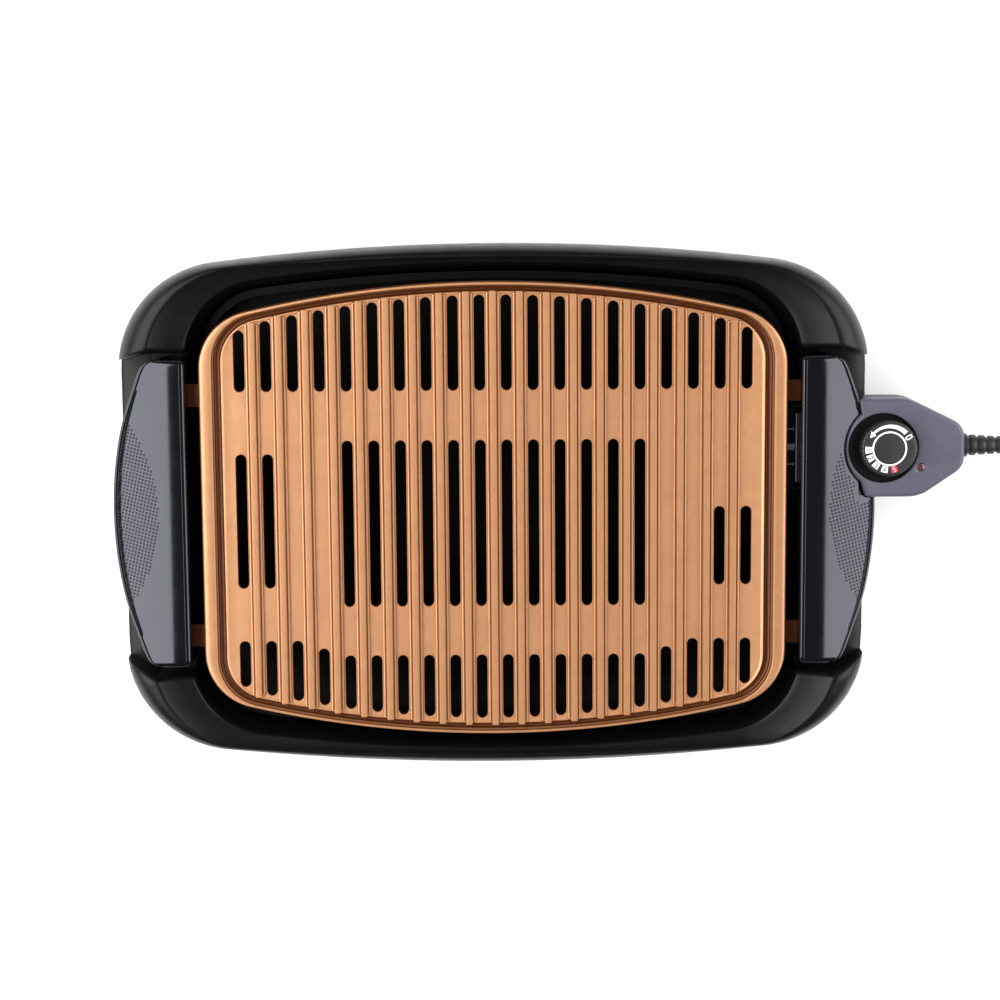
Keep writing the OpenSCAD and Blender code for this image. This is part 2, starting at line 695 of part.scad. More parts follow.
module neon_lamp() {
  color("#e07a3c") translate([lamp_x, control_y + lamp_y, ctrl_split + 1]) {
    cylinder(r = 1.8, h = 5, $fn = 24);
    translate([0, 0, -5]) cylinder(r = 0.5, h = 5, $fn = 16);
  }
}

module indicator_lens() {
  color("#7a2a22") translate([lamp_x, control_y + lamp_y, ctrl_split + 6]) rotate_extrude($fn = 32)
    polygon([[0, 0], [lens_r, 0], [lens_r, 5.2], [1.4, 5.5], [0, 5.6]]);
}

module inner_leads() {
  color("#eeeeee") for (s = [-1, 1]) tube([
    [tail_x - 6.5, control_y + s * 2, element_z],
    [tail_x - 9.5, control_y + s * 4.9, element_z - 0.5],
    [tail_x - 15, control_y + s * 5, element_z - 1.5],
    [dial_x + 24, control_y + s * 6, element_z - 3],
    [dial_x + 20, control_y + s * 6.8, element_z - 5],
    [flange_x + 28, control_y + s * leg_gap, element_z - 3]], 0.9);
}

module control_screw(i) {
  p = screw_posts[i - 1];
  color("silver") translate([p[0], control_y + p[1], ctrl_low + 0.8]) rotate_extrude($fn = 32) polygon([
    [0, 0], [2.7, 0], [2.7, 2.2], [screw_r - screw_gap, 2.2], [screw_r - screw_gap, 18], [0, 18.8]]);
}

cord_r = cord_d / 2;
relief_ribs = 5;
relief_pitch = 5.2;

module strain_relief() {
  color("#222326") translate([tail_x - 6, control_y, element_z]) rotate([0, 90, 0])
    rotate_extrude($fn = 40) polygon(concat(
      [[cord_r, 0], [gland_r, 0], [gland_r, 6], [collar_r + 0.8, 6.2], [collar_r + 0.8, 9]],
      [for (i = [0:relief_ribs - 1]) let (z = 9 + i * relief_pitch, r = collar_r - i * 0.3)
        each [[r - 1, z + 0.4], [r - 1, z + 1.4], [r, z + 2], [r, z + relief_pitch - 0.4]]],
      [[cord_r + 0.5, 38], [cord_r, 38]]));
}

// ---- Cord ----
tie_t = 0.8;
lay_z = cord_r + tie_t;
coil_x = cord_exit + 84;
coil_outer_turn = 42;
coil_y = control_y - coil_outer_turn;
coil_inner_turn = 28;
coil_top_z = lay_z + cord_d;
// Points along the free cord, measured from its exit, the last one where it joins the coil
cord_route = [[-4, 0, 56], [0, 0, 56], [7, 0, 56], [14, 0, 55.5], [23, 0, 53.5], [31, 0, 50], [38, 0, 45],
  [44, 0, 38.5], [49, 0, 31], [53, 0, 23.5], [59, 0, 16], [66, 0, 10], [74, 0, 6], [82, 0, 4.3]];
function ease(t, a, b) = let (u = max(0, min(1, (t - a) / (b - a)))) u * u * (3 - 2 * u);
// The last half turn, which climbs from the inner turn and passes over the others, then runs to the plug;
// points are measured from the coil's middle, and turns are counted clockwise from its +Y side
tail_route = concat(
  [for (t = [2.56:0.045:3.12]) let (a = 90 - 360 * t, r = coil_inner_turn + 13.2 * ease(t, 2.7, 3.17))
    [r * cos(a), r * sin(a), lay_z + cord_d * ease(t, 2.55, 2.78)]],
  [[37, 20, 11.3], [41, 12, 11.4], [44, 4, 11.2], [46, -4, 10.4], [47.5, -13, 8.6], [48.5, -22, 6.8],
    [49, -31, 6.4], [49, -40, 7]]);

function unit(v) = v / norm(v);
function route_way(pts, i) = unit(pts[min(i + 1, len(pts) - 1)] - pts[max(i - 1, 0)]);
function route_ring(pts, i, r, sides) =
  let (way = route_way(pts, i), across = unit(cross([0, 0, 1], way)), up = cross(way, across))
  [for (k = [0:sides - 1]) let (a = 360 * k / sides) pts[i] + r * (cos(a) * across + sin(a) * up)];

module tube(pts, r) {
  skin([for (i = [0:len(pts) - 1]) reversed(route_ring(pts, i, r, 12), 0, 11)], false);
}

module cord() {
  color("#232427") tube([for (p = cord_route) [cord_exit + p[0], control_y + p[1], p[2]]], cord_r);
}

module cord_coil() {
  w = coil_outer_turn + cord_r;
  n = coil_inner_turn - cord_r;
  color("#232427") translate([coil_x, coil_y, 0]) rotate_extrude($fn = 64) polygon([
    [n + 2, tie_t], [w - 2, tie_t], [w, tie_t + 2], [w, tie_t + cord_d - 2], [w - 2, tie_t + cord_d],
    [n + 2, tie_t + cord_d], [n, tie_t + cord_d - 2], [n, tie_t + 2]]);
}

module cord_tail() {
  color("#232427") tube([for (p = tail_route) [coil_x + p[0], coil_y + p[1], p[2]]], cord_r);
}

tie_w = 9;

module cord_tie() {
  w = coil_outer_turn + cord_r;
  n = coil_inner_turn - cord_r;
  h = cord_d + 2 * tie_t;
  color("#111111") translate([coil_x - tie_w / 2, coil_y - w - tie_t, 0]) difference() {
    cube([tie_w, w - n + 2 * tie_t, h]);
    translate([-1, tie_t, tie_t]) cube([tie_w + 2, w - n, h - 2 * tie_t]);
  }
}

tail_end = tail_route[len(tail_route) - 1];
plug_x = coil_x + tail_end[0];
plug_y = coil_y + tail_end[1];
plug_z = tail_end[2] + 0.3;
plug_len = 26;
plug_w = 24;
plug_h = 14;

module plug_body() {
  color("#232427") difference() {
    union() {
      translate([plug_x, plug_y + 2, plug_z]) rotate([90, 0, 0]) cylinder(r1 = 4.6, r2 = 6.2, h = 20, $fn = 40);
      translate([plug_x - plug_w / 2, plug_y - 18 - plug_len, plug_z - plug_h / 2])
        cube([plug_w, plug_len, plug_h]);
    }
    translate([plug_x, plug_y + 3, plug_z - 0.3]) rotate([90, 0, 0]) cylinder(r = cord_r, h = 3, $fn = 40);
    for (s = [-1, 1]) translate([plug_x + s * 6.35 - 0.75, plug_y - 18 - plug_len - 1, plug_z - 4])
      cube([1.5, 9, 8]);
  }
}

module plug_blade(i) {
  s = i == 1 ? -1 : 1;
  half = i == 1 ? 3.15 : 3.95;
  color("#c9c9c4") translate([plug_x + s * 6.35 - 0.75, plug_y - 18 - plug_len - 17, plug_z - half])
    cube([1.5, 25, 2 * half]);
}

// ---- Dial ----
dial_z = well_z + 0.4;
dial_h = 6.6;
cap_r = 8.6;

module dial() {
  color("#26272c") translate([dial_x, control_y, dial_z]) difference() {
    rotate_extrude($fn = 90) polygon([
      [0, 0], [dial_r - 0.4, 0], [dial_r, 0.5], [dial_r - 0.3, dial_h - 0.7], [dial_r - 1, dial_h],
      [0, dial_h]]);
    for (i = [0:35]) rotate([0, 0, i * 10]) translate([dial_r + 0.25, 0, 0.8])
      cylinder(r = 0.6, h = dial_h, $fn = 16);
    translate([0, 0, dial_h - 1]) cylinder(r = cap_r, h = 2, $fn = 64);
    translate([0, 0, -1]) cylinder(r = shaft_r, h = dial_h - 1.2, $fn = 40);
  }
}

module dial_cap() {
  color("#202126") translate([dial_x, control_y, dial_z + dial_h - 1])
    cylinder(r = cap_r, h = 1, $fn = 64);
}

module dial_shaft() {
  bottom = element_z - 2;
  color("silver") translate([dial_x, control_y, bottom + 0.4])
    cylinder(r = shaft_r, h = dial_z + dial_h - 2.2 - bottom - 0.4, $fn = 40);
}

// ---- Placing ----
// The origin is under the middle of the griddle's length without its free cord
origin_x = (cord_exit - handle_reach) / 2;

module place(name) {
  translate([-origin_x, 0, 0]) children();
}

place("base_housing") base_housing();
for (i = [1:4]) place(str("rubber_foot_", i)) rubber_foot(i);
for (i = [1:4]) place(str("foot_screw_", i)) foot_screw(i);
place("drip_tray") drip_tray();
place("grill_plate") grill_plate();
place("heating_element") heating_element();
for (i = [1:2]) place(str("terminal_pin_", i)) terminal_pin(i);
for (i = [1:2]) place(str("terminal_insulator_", i)) terminal_insulator(i);
place("terminal_guard") terminal_guard();
place("left_handle") left_handle();
place("right_handle") right_handle();
for (i = [1:4]) place(str("handle_spacer_", i)) handle_spacer(i);
for (i = [1:4]) place(str("handle_screw_", i)) handle_screw(i);
place("control_bottom") control_bottom();
place("control_top") control_top();
place("sensor_probe") sensor_probe();
place("probe_flange") probe_flange();
for (i = [1:2]) place(str("contact_socket_", i)) contact_socket(i);
place("thermostat_switch") thermostat_switch();
place("neon_lamp") neon_lamp();
place("indicator_lens") indicator_lens();
place("inner_leads") inner_leads();
for (i = [1:3]) place(str("control_screw_", i)) control_screw(i);
place("strain_relief") strain_relief();
place("cord") cord();
place("cord_coil") cord_coil();
place("cord_tail") cord_tail();
place("cord_tie") cord_tie();
place("plug_body") plug_body();
for (i = [1:2]) place(str("plug_blade_", i)) plug_blade(i);
place("dial") dial();
place("dial_cap") dial_cap();
place("dial_shaft") dial_shaft();
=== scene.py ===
"""Looks of the electric griddle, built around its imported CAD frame."""

import json
import math

import bmesh
import bpy
import numpy as np
from mathutils import Matrix, Vector


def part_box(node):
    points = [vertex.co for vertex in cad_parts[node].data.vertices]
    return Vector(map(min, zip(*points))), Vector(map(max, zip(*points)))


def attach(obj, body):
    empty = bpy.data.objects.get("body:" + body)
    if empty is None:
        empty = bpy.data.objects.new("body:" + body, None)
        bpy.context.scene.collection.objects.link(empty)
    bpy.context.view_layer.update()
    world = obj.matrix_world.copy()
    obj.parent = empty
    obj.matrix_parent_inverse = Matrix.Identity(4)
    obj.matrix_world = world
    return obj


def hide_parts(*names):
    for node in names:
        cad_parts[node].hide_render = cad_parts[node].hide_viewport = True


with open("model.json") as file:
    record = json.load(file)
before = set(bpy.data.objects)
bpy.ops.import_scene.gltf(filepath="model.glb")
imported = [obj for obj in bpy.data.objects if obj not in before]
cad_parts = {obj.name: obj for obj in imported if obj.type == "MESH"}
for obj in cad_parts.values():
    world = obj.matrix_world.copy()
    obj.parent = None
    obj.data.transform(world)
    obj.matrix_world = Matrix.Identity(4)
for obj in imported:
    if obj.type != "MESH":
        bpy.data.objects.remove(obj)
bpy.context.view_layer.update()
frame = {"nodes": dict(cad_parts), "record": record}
nodes = frame["nodes"]
MM = 0.001

# The griddle's middle in the row frame: the base is symmetrical about it
low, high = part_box("base_housing")
OX = (low.x + high.x) / 2 / MM
CTRL_Y = sum(c.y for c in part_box("dial")) / 2 / MM
DIAL_X = sum(c.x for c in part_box("dial")) / 2 / MM - OX
EXIT_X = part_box("strain_relief")[1].x / MM - OX


def at(x, y, z):
    """A point given in mm from the griddle's middle, in the row frame in metres."""
    return ((x + OX) * MM, y * MM, z * MM)


# ---- Camera ----
TILT, ROLL, PAN = math.radians(7.93), math.radians(-0.43), math.radians(0.06)
DISTANCE, FOCAL = 1300, 2282.8
away = Vector((math.sin(PAN) * math.cos(TILT), math.sin(TILT), math.cos(PAN) * math.cos(TILT))).normalized()
right = (-away).cross(Vector((0, 1, 0))).normalized()
up = right.cross(-away)
right, up = (right * math.cos(ROLL) + up * math.sin(ROLL), up * math.cos(ROLL) - right * math.sin(ROLL))
cam_data = bpy.data.cameras.new("camera")
cam_data.sensor_width = 36
cam_data.lens = 36 * FOCAL / 1000
cam_data.clip_end = 20
cam = bpy.data.objects.new("camera", cam_data)
bpy.context.scene.collection.objects.link(cam)
place = Matrix((right, up, away)).transposed().to_4x4()
place.translation = Vector(at(3.4, 4.3, 55)) + away * DISTANCE * MM
cam.matrix_world = place
bpy.context.scene.camera = cam
bpy.context.scene.view_settings.view_transform = "Standard"


# ---- Mesh helpers ----
def finish_mesh(bm, name, body, mat, replaces=(), angle=32):
    """Makes an object of bm, shaded smooth except at edges sharper than angle."""
    bmesh.ops.recalc_face_normals(bm, faces=bm.faces)
    limit = math.radians(angle)
    for f in bm.faces:
        f.smooth = True
    for e in bm.edges:
        e.smooth = len(e.link_faces) != 2 or e.calc_face_angle(0) < limit
    mesh = bpy.data.meshes.new(name)
    bm.to_mesh(mesh)
    bm.free()
    obj = bpy.data.objects.new(name, mesh)
    bpy.context.scene.collection.objects.link(obj)
    if mat:
        mesh.materials.append(mat)
    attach(obj, body)
    if replaces:
        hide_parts(*replaces)
    return obj


def smooth_path(points, per=8):
    """Catmull-Rom points through points, per of them to each stretch."""
    p = [np.array(q, float) for q in points]
    p = [2 * p[0] - p[1]] + p + [2 * p[-1] - p[-2]]
    out = []
    for i in range(1, len(p) - 2):
        a, b, c, d = p[i - 1:i + 3]
        for k in range(per):
            t = k / per
            out.append(0.5 * (2 * b + (c - a) * t + (2 * a - 5 * b + 4 * c - d) * t * t
                              + (3 * b - a - 3 * c + d) * t ** 3))
    return out + [p[-2]]


# ---- Cord ----
CORD_D = 7.0
COIL_X, COIL_Y = EXIT_X + 84, CTRL_Y - 42
LAY_Z = CORD_D / 2 + 0.8
ROUTE = [(-4, 0, 56), (0, 0, 56), (7, 0, 56), (14, 0, 55.5), (23, 0, 53.5), (31, 0, 50), (38, 0, 45),
         (44, 0, 38.5), (49, 0, 31), (53, 0, 23.5), (59, 0, 16), (66, 0, 10), (74, 0, 6), (82, 0, 4.3)]
TAIL = [(37, 20, 11.3), (41, 12, 11.4), (44, 4, 11.2), (46, -4, 10.4), (47.5, -13, 8.6), (48.5, -22, 6.8),
        (49, -31, 6.4), (49, -40, 7)]


def ease(t, a, b):
    u = min(1, max(0, (t - a) / (b - a)))
    return u * u * (3 - 2 * u)


def coil_point(turn):
    """The coil's centre line after so many turns, clockwise from its +Y side.

    Three turns lie side by side, and the last half turn passes over the top."""
    r = 42 - 7 * ease(turn, 0.72, 1) - 7 * ease(turn, 1.72, 2) + 13.2 * ease(turn, 2.7, 3.17)
    a = math.pi / 2 - 2 * math.pi * turn
    return (COIL_X + r * math.cos(a), COIL_Y + r * math.sin(a), LAY_Z + CORD_D * ease(turn, 2.55, 2.78))


route = [(EXIT_X + x, CTRL_Y + y, z) for x, y, z in ROUTE]
route += [coil_point(0.04 * i) for i in range(1, 79)]
route += [(COIL_X + x, COIL_Y + y, z) for x, y, z in TAIL]
line = smooth_path(route, 4)
curve = bpy.data.curves.new("power_cord", "CURVE")
curve.dimensions = "3D"
curve.bevel_depth = CORD_D / 2 * MM
curve.bevel_resolution = 5
curve.use_fill_caps = True
spline = curve.splines.new("POLY")
spline.points.add(len(line) - 1)
for q, p in zip(spline.points, line):
    q.co = (*at(*p), 1)
power_cord = bpy.data.objects.new("power_cord", curve)
bpy.context.scene.collection.objects.link(power_cord)
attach(power_cord, "control")
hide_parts("cord", "cord_coil", "cord_tail")




# ---- Materials ----
def shader(name, color, rough=0.5, metal=0.0, coat=0.0, coat_rough=0.05, bump=0.0, scale=900.0, vary=0.06,
           grain=0.0, tint=None, ior=1.5, sheen=(1, 1, 1), layers=None):
    """A surface with broad uneven tone, fine grain and uneven polish, all by noise in the object's own space.
    Grain mixes specks of tint into the colour; bump is the height of the grain in mm. Layers is a colour and
    a list of heights in mm with the share of that colour there: painted shade, darker in grooves and beneath."""
    m = bpy.data.materials.new(name)
    m.use_nodes = True
    t = m.node_tree
    add, link = t.nodes.new, t.links.new
    b = t.nodes["Principled BSDF"]
    b.inputs["Metallic"].default_value = metal
    b.inputs["Coat Weight"].default_value = coat
    b.inputs["Coat Roughness"].default_value = coat_rough
    b.inputs["IOR"].default_value = ior
    b.inputs["Specular Tint"].default_value = (*sheen, 1)
    co = add("ShaderNodeTexCoord")

    def noise(size, detail):
        n = add("ShaderNodeTexNoise")
        n.inputs["Scale"].default_value = size
        n.inputs["Detail"].default_value = detail
        link(co.outputs["Object"], n.inputs["Vector"])
        return n.outputs["Fac"]

    broad, fine = noise(scale * 0.04, 4), noise(scale, 3)
    ramp = add("ShaderNodeValToRGB")
    for e, place, k in zip(ramp.color_ramp.elements, (0.3, 0.7), (1 - vary, 1 + vary)):
        e.position = place
        e.color = (*[min(1, c * k) for c in color], 1)
    link(broad, ramp.inputs["Fac"])
    tone = ramp.outputs["Color"]
    if grain:
        speck = add("ShaderNodeMapRange")
        for key, v in (("From Min", 0.52), ("From Max", 0.72), ("To Max", grain)):
            speck.inputs[key].default_value = v
        link(fine, speck.inputs["Value"])
        mixer = add("ShaderNodeMix")
        mixer.data_type = "RGBA"
        link(speck.outputs["Result"], mixer.inputs["Factor"])
        link(tone, mixer.inputs["A"])
        mixer.inputs["B"].default_value = (*(tint or color), 1)
        tone = mixer.outputs["Result"]
    if layers:
        split = add("ShaderNodeSeparateXYZ")
        link(co.outputs["Object"], split.inputs["Vector"])
        stops = layers[1]
        z0, z1 = stops[0][0], stops[-1][0]
        place = add("ShaderNodeMapRange")
        place.inputs["From Min"].default_value = z0 * MM
        place.inputs["From Max"].default_value = z1 * MM
        link(split.outputs["Z"], place.inputs["Value"])
        share = add("ShaderNodeValToRGB")
        for z, v in stops[1:-1]:
            share.color_ramp.elements.new((z - z0) / (z1 - z0))
        for e, (z, v) in zip(share.color_ramp.elements, stops):
            e.color = (v, v, v, 1)
        link(place.outputs["Result"], share.inputs["Fac"])
        mixer = add("ShaderNodeMix")
        mixer.data_type = "RGBA"
        link(share.outputs["Color"], mixer.inputs["Factor"])
        link(tone, mixer.inputs["A"])
        mixer.inputs["B"].default_value = (*layers[0], 1)
        tone = mixer.outputs["Result"]
    link(tone, b.inputs["Base Color"])
    polish = add("ShaderNodeMapRange")
    polish.inputs["From Min"].default_value = 0.3
    polish.inputs["From Max"].default_value = 0.7
    polish.inputs["To Min"].default_value = rough * 0.86
    polish.inputs["To Max"].default_value = min(1, rough * 1.14)
    link(noise(scale * 0.15, 5), polish.inputs["Value"])
    link(polish.outputs["Result"], b.inputs["Roughness"])
    if bump:
        bn = add("ShaderNodeBump")
        bn.inputs["Strength"].default_value = 1
        bn.inputs["Distance"].default_value = bump * MM
        link(fine, bn.inputs["Height"])
        link(bn.outputs["Normal"], b.inputs["Normal"])
    return m


# Painted shade in layers, as a colour and its share at heights in mm. On the plate it darkens the moat and all
# below the field, the ribs' grooves and sides, and faintly the lit crests and rim top; the other is painted
# shade on the control's nose, which lies in shadow under the plate
TOP = 68.0
FIELD = TOP - 3.4
PAINTED_PLATE_SHADE = ((0.10, 0.026, 0.004), [(FIELD - 5, 1), (FIELD - 0.5, 1), (FIELD - 0.2, 0), (FIELD + 0.65, 0),
                                    (FIELD + 0.75, 0.8), (FIELD + 1.22, 0.8), (FIELD + 1.33, 0),
                                    (FIELD + 1.66, 0), (FIELD + 1.8, 0.9), (FIELD + 2.6, 0.9),
                                    (FIELD + 2.9, 0), (FIELD + 3.2, 0), (FIELD + 3.36, 0.16),
                                    (FIELD + 4, 0.16)])
# painted shade: the control's nose below 64.3 mm, in shadow under the plate, is laid near-black
PAINTED_NOSE_SHADE = ((0.004, 0.004, 0.005), [(60, 1), (64.3, 1), (64.7, 0), (69, 0)])
KINDS = {
    "black_plastic": ((0.003, 0.0034, 0.0034), 0.36, dict(bump=0.004, sheen=(0.95, 1, 0.99), ior=1.30)),
    "gloss_plastic": ((0.003, 0.003, 0.004), 0.14, dict(scale=600, sheen=(0.86, 0.88, 1), ior=1.55)),
    # painted reflection: the cover's lavender grey stands for the soft box's reflection in its gloss
    "control_plastic": ((0.066, 0.065, 0.086), 0.36,
                        dict(scale=1100, bump=0.004, sheen=(0.86, 0.88, 1), layers=PAINTED_NOSE_SHADE)),
    "dial_plastic": ((0.014, 0.014, 0.016), 0.42, dict(bump=0.004)),
    # near-black for the dial's well: painted shade
    "well_black": ((0.002, 0.002, 0.002), 0.6, dict(bump=0.004, ior=1.25)),
    # the copper's layers are painted shade: darker in the moat, the grooves and beneath, and faintly on the
    # lit tops
    "copper_coating": ((0.52, 0.255, 0.122), 0.38, dict(metal=0.5, bump=0.006, scale=2200, grain=0.35,
                                                      tint=(0.75, 0.42, 0.21), vary=0.04, layers=PAINTED_PLATE_SHADE)),
    # near-black, darkened as painted shade for the gap between base and plate
    "tray_enamel": ((0.002, 0.002, 0.002), 0.5,
                    dict(bump=0.002, scale=1200, grain=0.1, tint=(0.005, 0.005, 0.005), ior=1.25)),
    "element_steel": ((0.12, 0.11, 0.10), 0.45,
                      dict(metal=0.8, bump=0.003, grain=0.3, tint=(0.2, 0.15, 0.1))),
    "bright_steel": ((0.62, 0.62, 0.62), 0.24, dict(metal=1, scale=1500, bump=0.001)),
    "screw_steel": ((0.5, 0.5, 0.5), 0.3, dict(metal=1, scale=1500, bump=0.001)),
    "pin_nickel": ((0.62, 0.59, 0.53), 0.22, dict(metal=1, scale=1500, bump=0.001)),
    "brass": ((0.65, 0.46, 0.18), 0.28, dict(metal=1, scale=1500, bump=0.001)),
    "ceramic": ((0.72, 0.69, 0.63), 0.4, dict(bump=0.003)),
    "spacer_fibre": ((0.28, 0.22, 0.15), 0.7,
                     dict(bump=0.02, scale=1800, grain=0.5, tint=(0.4, 0.33, 0.24))),
    "switch_board": ((0.16, 0.09, 0.04), 0.5, dict(bump=0.003, grain=0.3, tint=(0.22, 0.14, 0.07))),
    "lamp_glass": ((0.75, 0.30, 0.10), 0.1, dict(coat=0.5)),
    "lens_red": ((0.07, 0.03, 0.035), 0.12, dict(coat=0.6)),
    "lead_sleeve": ((0.66, 0.66, 0.62), 0.6, dict(bump=0.02, scale=2500)),
    "cord_vinyl": ((0.014, 0.014, 0.016), 0.42, dict(bump=0.006)),
    "tie_plastic": ((0.012, 0.012, 0.013), 0.3, dict(bump=0.002)),
    "foot_rubber": ((0.02, 0.02, 0.021), 0.75, dict(bump=0.02, scale=1500)),
    "dot_rubber": ((0.006, 0.006, 0.008), 0.8, dict(bump=0.01)),
    "print_white": ((0.8, 0.8, 0.8), 0.5, dict(vary=0.02)),
    "print_red": ((0.50, 0.012, 0.025), 0.5, dict(vary=0.03)),
    "print_black": ((0.02, 0.02, 0.022), 0.5, dict(vary=0.03)),
    "print_pink": ((0.72, 0.36, 0.38), 0.5, dict(vary=0.03)),
}
MATS = {name: shader(name, color, rough, **more) for name, (color, rough, more) in KINDS.items()}
slot_of = {s["node"]: s["material_slot"] for s in frame["record"]["subparts"]}
power_cord.data.materials.append(MATS["cord_vinyl"])

# ---- Every CAD node takes its material ----
for n, o in nodes.items():
    mat = MATS[slot_of[n]]
    if o.material_slots:
        for s in o.material_slots:
            s.material = mat
    else:
        o.data.materials.append(mat)


# ---- Mesh tools: all of them take mm from the griddle's middle ----
def rings_mesh(bm, rings, joined=False, caps=True, loop=True):
    """Adds a skin over rings of points to bm: joined closes the row of rings, loop closes each ring."""
    vs = [[bm.verts.new(at(*p)) for p in ring] for ring in rings]
    count, n = len(vs), len(vs[0])
    for i in range(count if joined else count - 1):
        a, b = vs[i], vs[(i + 1) % count]
        for k in range(n if loop else n - 1):
            m = (k + 1) % n
            bm.faces.new((a[k], a[m], b[m], b[k]))
    if caps and not joined:
        bm.faces.new(vs[0][::-1])
        bm.faces.new(vs[-1])
    return vs


def mix(a, b, t):
    return a * (1 - t) + b * t


def turned(profile, n, place):
    """Rings of a shape of revolution, from (radius, height) pairs; place puts a point in the griddle's mm."""
    return [[place(r * math.cos(2 * math.pi * k / n), r * math.sin(2 * math.pi * k / n), z)
             for k in range(n)] for r, z in profile]


def revolve(name, profile, n, place, body, mat, replaces=(), angle=32):
    """A closed shape of revolution; a profile that starts and ends on the axis closes there."""
    bm = bmesh.new()
    solid = profile[0][0] < 1e-6
    inner = [(max(r, 1e-6), z) for r, z in profile]
    if solid:
        rings_mesh(bm, turned(inner[1:-1], n, place), caps=False)
        bm.verts.ensure_lookup_table()
        ends = [(bm.verts[k] for k in range(n)),
                (bm.verts[k] for k in range(len(bm.verts) - n, len(bm.verts)))]
        ends = [list(e) for e in ends]
        for ring, p in zip(ends, (profile[0], profile[-1])):
            tip = bm.verts.new(at(*place(0, 0, p[1])))
            for k in range(n):
                bm.faces.new((ring[k], ring[(k + 1) % n], tip))
    else:
        rings_mesh(bm, turned(inner, n, place), joined=True)
    return finish_mesh(bm, name, body, mat, replaces, angle)


def add_block(bm, lo, hi, r=0.6, steps=3):
    """A box with rounded edges, as nested rounded rectangles stacked along Z."""
    x0, y0, z0 = lo
    x1, y1, z1 = hi
    rings = []

    def rect(d, z):
        q = max(r - d, 0.05)
        pts = []
        for cx, cy, a0 in ((x1 - d - q, y1 - d - q, 0), (x0 + d + q, y1 - d - q, 90),
                           (x0 + d + q, y0 + d + q, 180), (x1 - d - q, y0 + d + q, 270)):
            for k in range(steps + 1):
                a = math.radians(a0 + 90 * k / steps)
                pts.append((cx + q * math.cos(a), cy + q * math.sin(a), z))
        return pts

    for k in range(steps + 1):
        a = math.radians(90 * k / steps)
        rings.append(rect(r * (1 - math.sin(a)), z0 + r * (1 - math.cos(a))))
    for k in range(steps + 1):
        a = math.radians(90 * k / steps)
        rings.append(rect(r * (1 - math.cos(a)), z1 - r * (1 - math.sin(a))))
    rings_mesh(bm, rings)


# ---- Outlines, each [half length, half width, radius of the long sides, corner radius] ----
BX = (high.x - low.x) / 2 / MM
BY = (high.y - low.y) / 2 / MM
OUTER, CREST, INNER = (BX, BY, 1320, 62), (BX - 18.2, BY - 7, 2000, 55), (BX - 39.2, BY - 10.2, 1000, 45)
p_lo, p_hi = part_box("grill_plate")
PX, PY = 165.3, (p_hi.y - p_lo.y) / 2 / MM
RIM = (PX, PY, 610, 33)
MOAT_OUT = (PX - 7.9, PY - 2.3, 600, 27)
MOAT_IN = (PX - 12.4, PY - 5.6, 590, 24)


def inset(o, d):
    return (o[0] - d, o[1] - d, o[2] - d, o[3] - d)


def corner_y(o):
    return o[1] - o[2] + math.sqrt((o[2] - o[3]) ** 2 - (o[0] - o[3]) ** 2)


def corner_end(o):
    return math.atan2(corner_y(o) - o[1] + o[2], o[0] - o[3])


def corner_point(o, a):
    return np.array((o[0] - o[3] + o[3] * math.cos(a), corner_y(o) + o[3] * math.sin(a)))


def long_y(o, x):
    return o[1] - o[2] + math.sqrt(o[2] ** 2 - x * x)


def ring_point(o, place, kind, a0=0.0):
    """kind 0: place is y on the short side. 1: a share of the corner's arc. 2: a share of the long side."""
    if kind == 0:
        cy = corner_y(o)
        x = o[0] if place <= cy else o[0] - o[3] + math.sqrt(o[3] ** 2 - (place - cy) ** 2)
        return np.array((x, place))
    if kind == 1:
        a = math.asin((a0 - corner_y(o)) / o[3]) if a0 else 0.0
        return corner_point(o, mix(a, corner_end(o), place))
    x = corner_point(o, corner_end(o))[0] * (1 - place)
    return np.array((x, long_y(o, x)))


def quarter(o, corners=16, sides=16):
    return ([ring_point(o, k / corners, 1) for k in range(corners + 1)]
            + [ring_point(o, k / sides, 2) for k in range(1, sides + 1)])


def outline(o, corners=16, sides=16):
    """The whole outline, counterclockwise from the +X axis' corner."""
    q = [tuple(p) for p in quarter(o, corners, sides)]
    return q + [(-x, y) for x, y in q[-2::-1]] + [(-x, -y) for x, y in q] + [(x, -y) for x, y in q[-2::-1]]


def outline_y(o, x):
    xc = corner_point(o, corner_end(o))[0]
    return corner_y(o) + math.sqrt(max(0, o[3] ** 2 - (x - o[0] + o[3]) ** 2)) if x > xc else long_y(o, x)


# ---- Probe control ----
C_SPLIT, NOSE_R, C_HALF, TAIL_X, TAIL_HALF = 57, 24.5, 28, DIAL_X + 43, 8.5
PROBE_Z = 56


def arc(cx, cy, r, a0, a1, n):
    return [(cx + r * math.cos(math.radians(a0 + (a1 - a0) * k / n)),
             cy + r * math.sin(math.radians(a0 + (a1 - a0) * k / n))) for k in range(n + 1)]


def control_outline(d):
    y, h, t = CTRL_Y, C_HALF, TAIL_HALF
    return (arc(DIAL_X, y, NOSE_R - d, 232, 128, 40)
            + arc(DIAL_X - 14, y + h - 4, 4 - d, 130, 90, 6)
            + arc(DIAL_X + 5.5, y + h - 22, 22 - d, 90, 62, 10)
            + arc(TAIL_X - 11, y + t - 3.2, 11 - d, 58, 0, 12)
            + arc(TAIL_X - 11, y - t + 3.2, 11 - d, 0, -58, 12)
            + arc(DIAL_X + 11.5, y - h + 22, 22 - d, -62, -90, 10)
            + arc(DIAL_X - 10, y - h + 4, 4 - d, -90, -130, 6))
# ---- Base ----
SHOULDER_START, RECESS_Y, RECESS_HALF, WALL = 100, -2.9, 92.5, 2.6
# How far a recess's end leans to the middle at the outer edge, at the back and at the front
SLANT = {1: 4.5, -1: 8}
RIM_Z, SHOULDER_Z, LEDGE_Z, WIDE_Z = 61, 67, 40, 44


def rise(place, kind):
    return 1 if kind == 0 else 1 - 0.55 * place * place if kind == 1 else 0.45 * (1 - place) ** 2


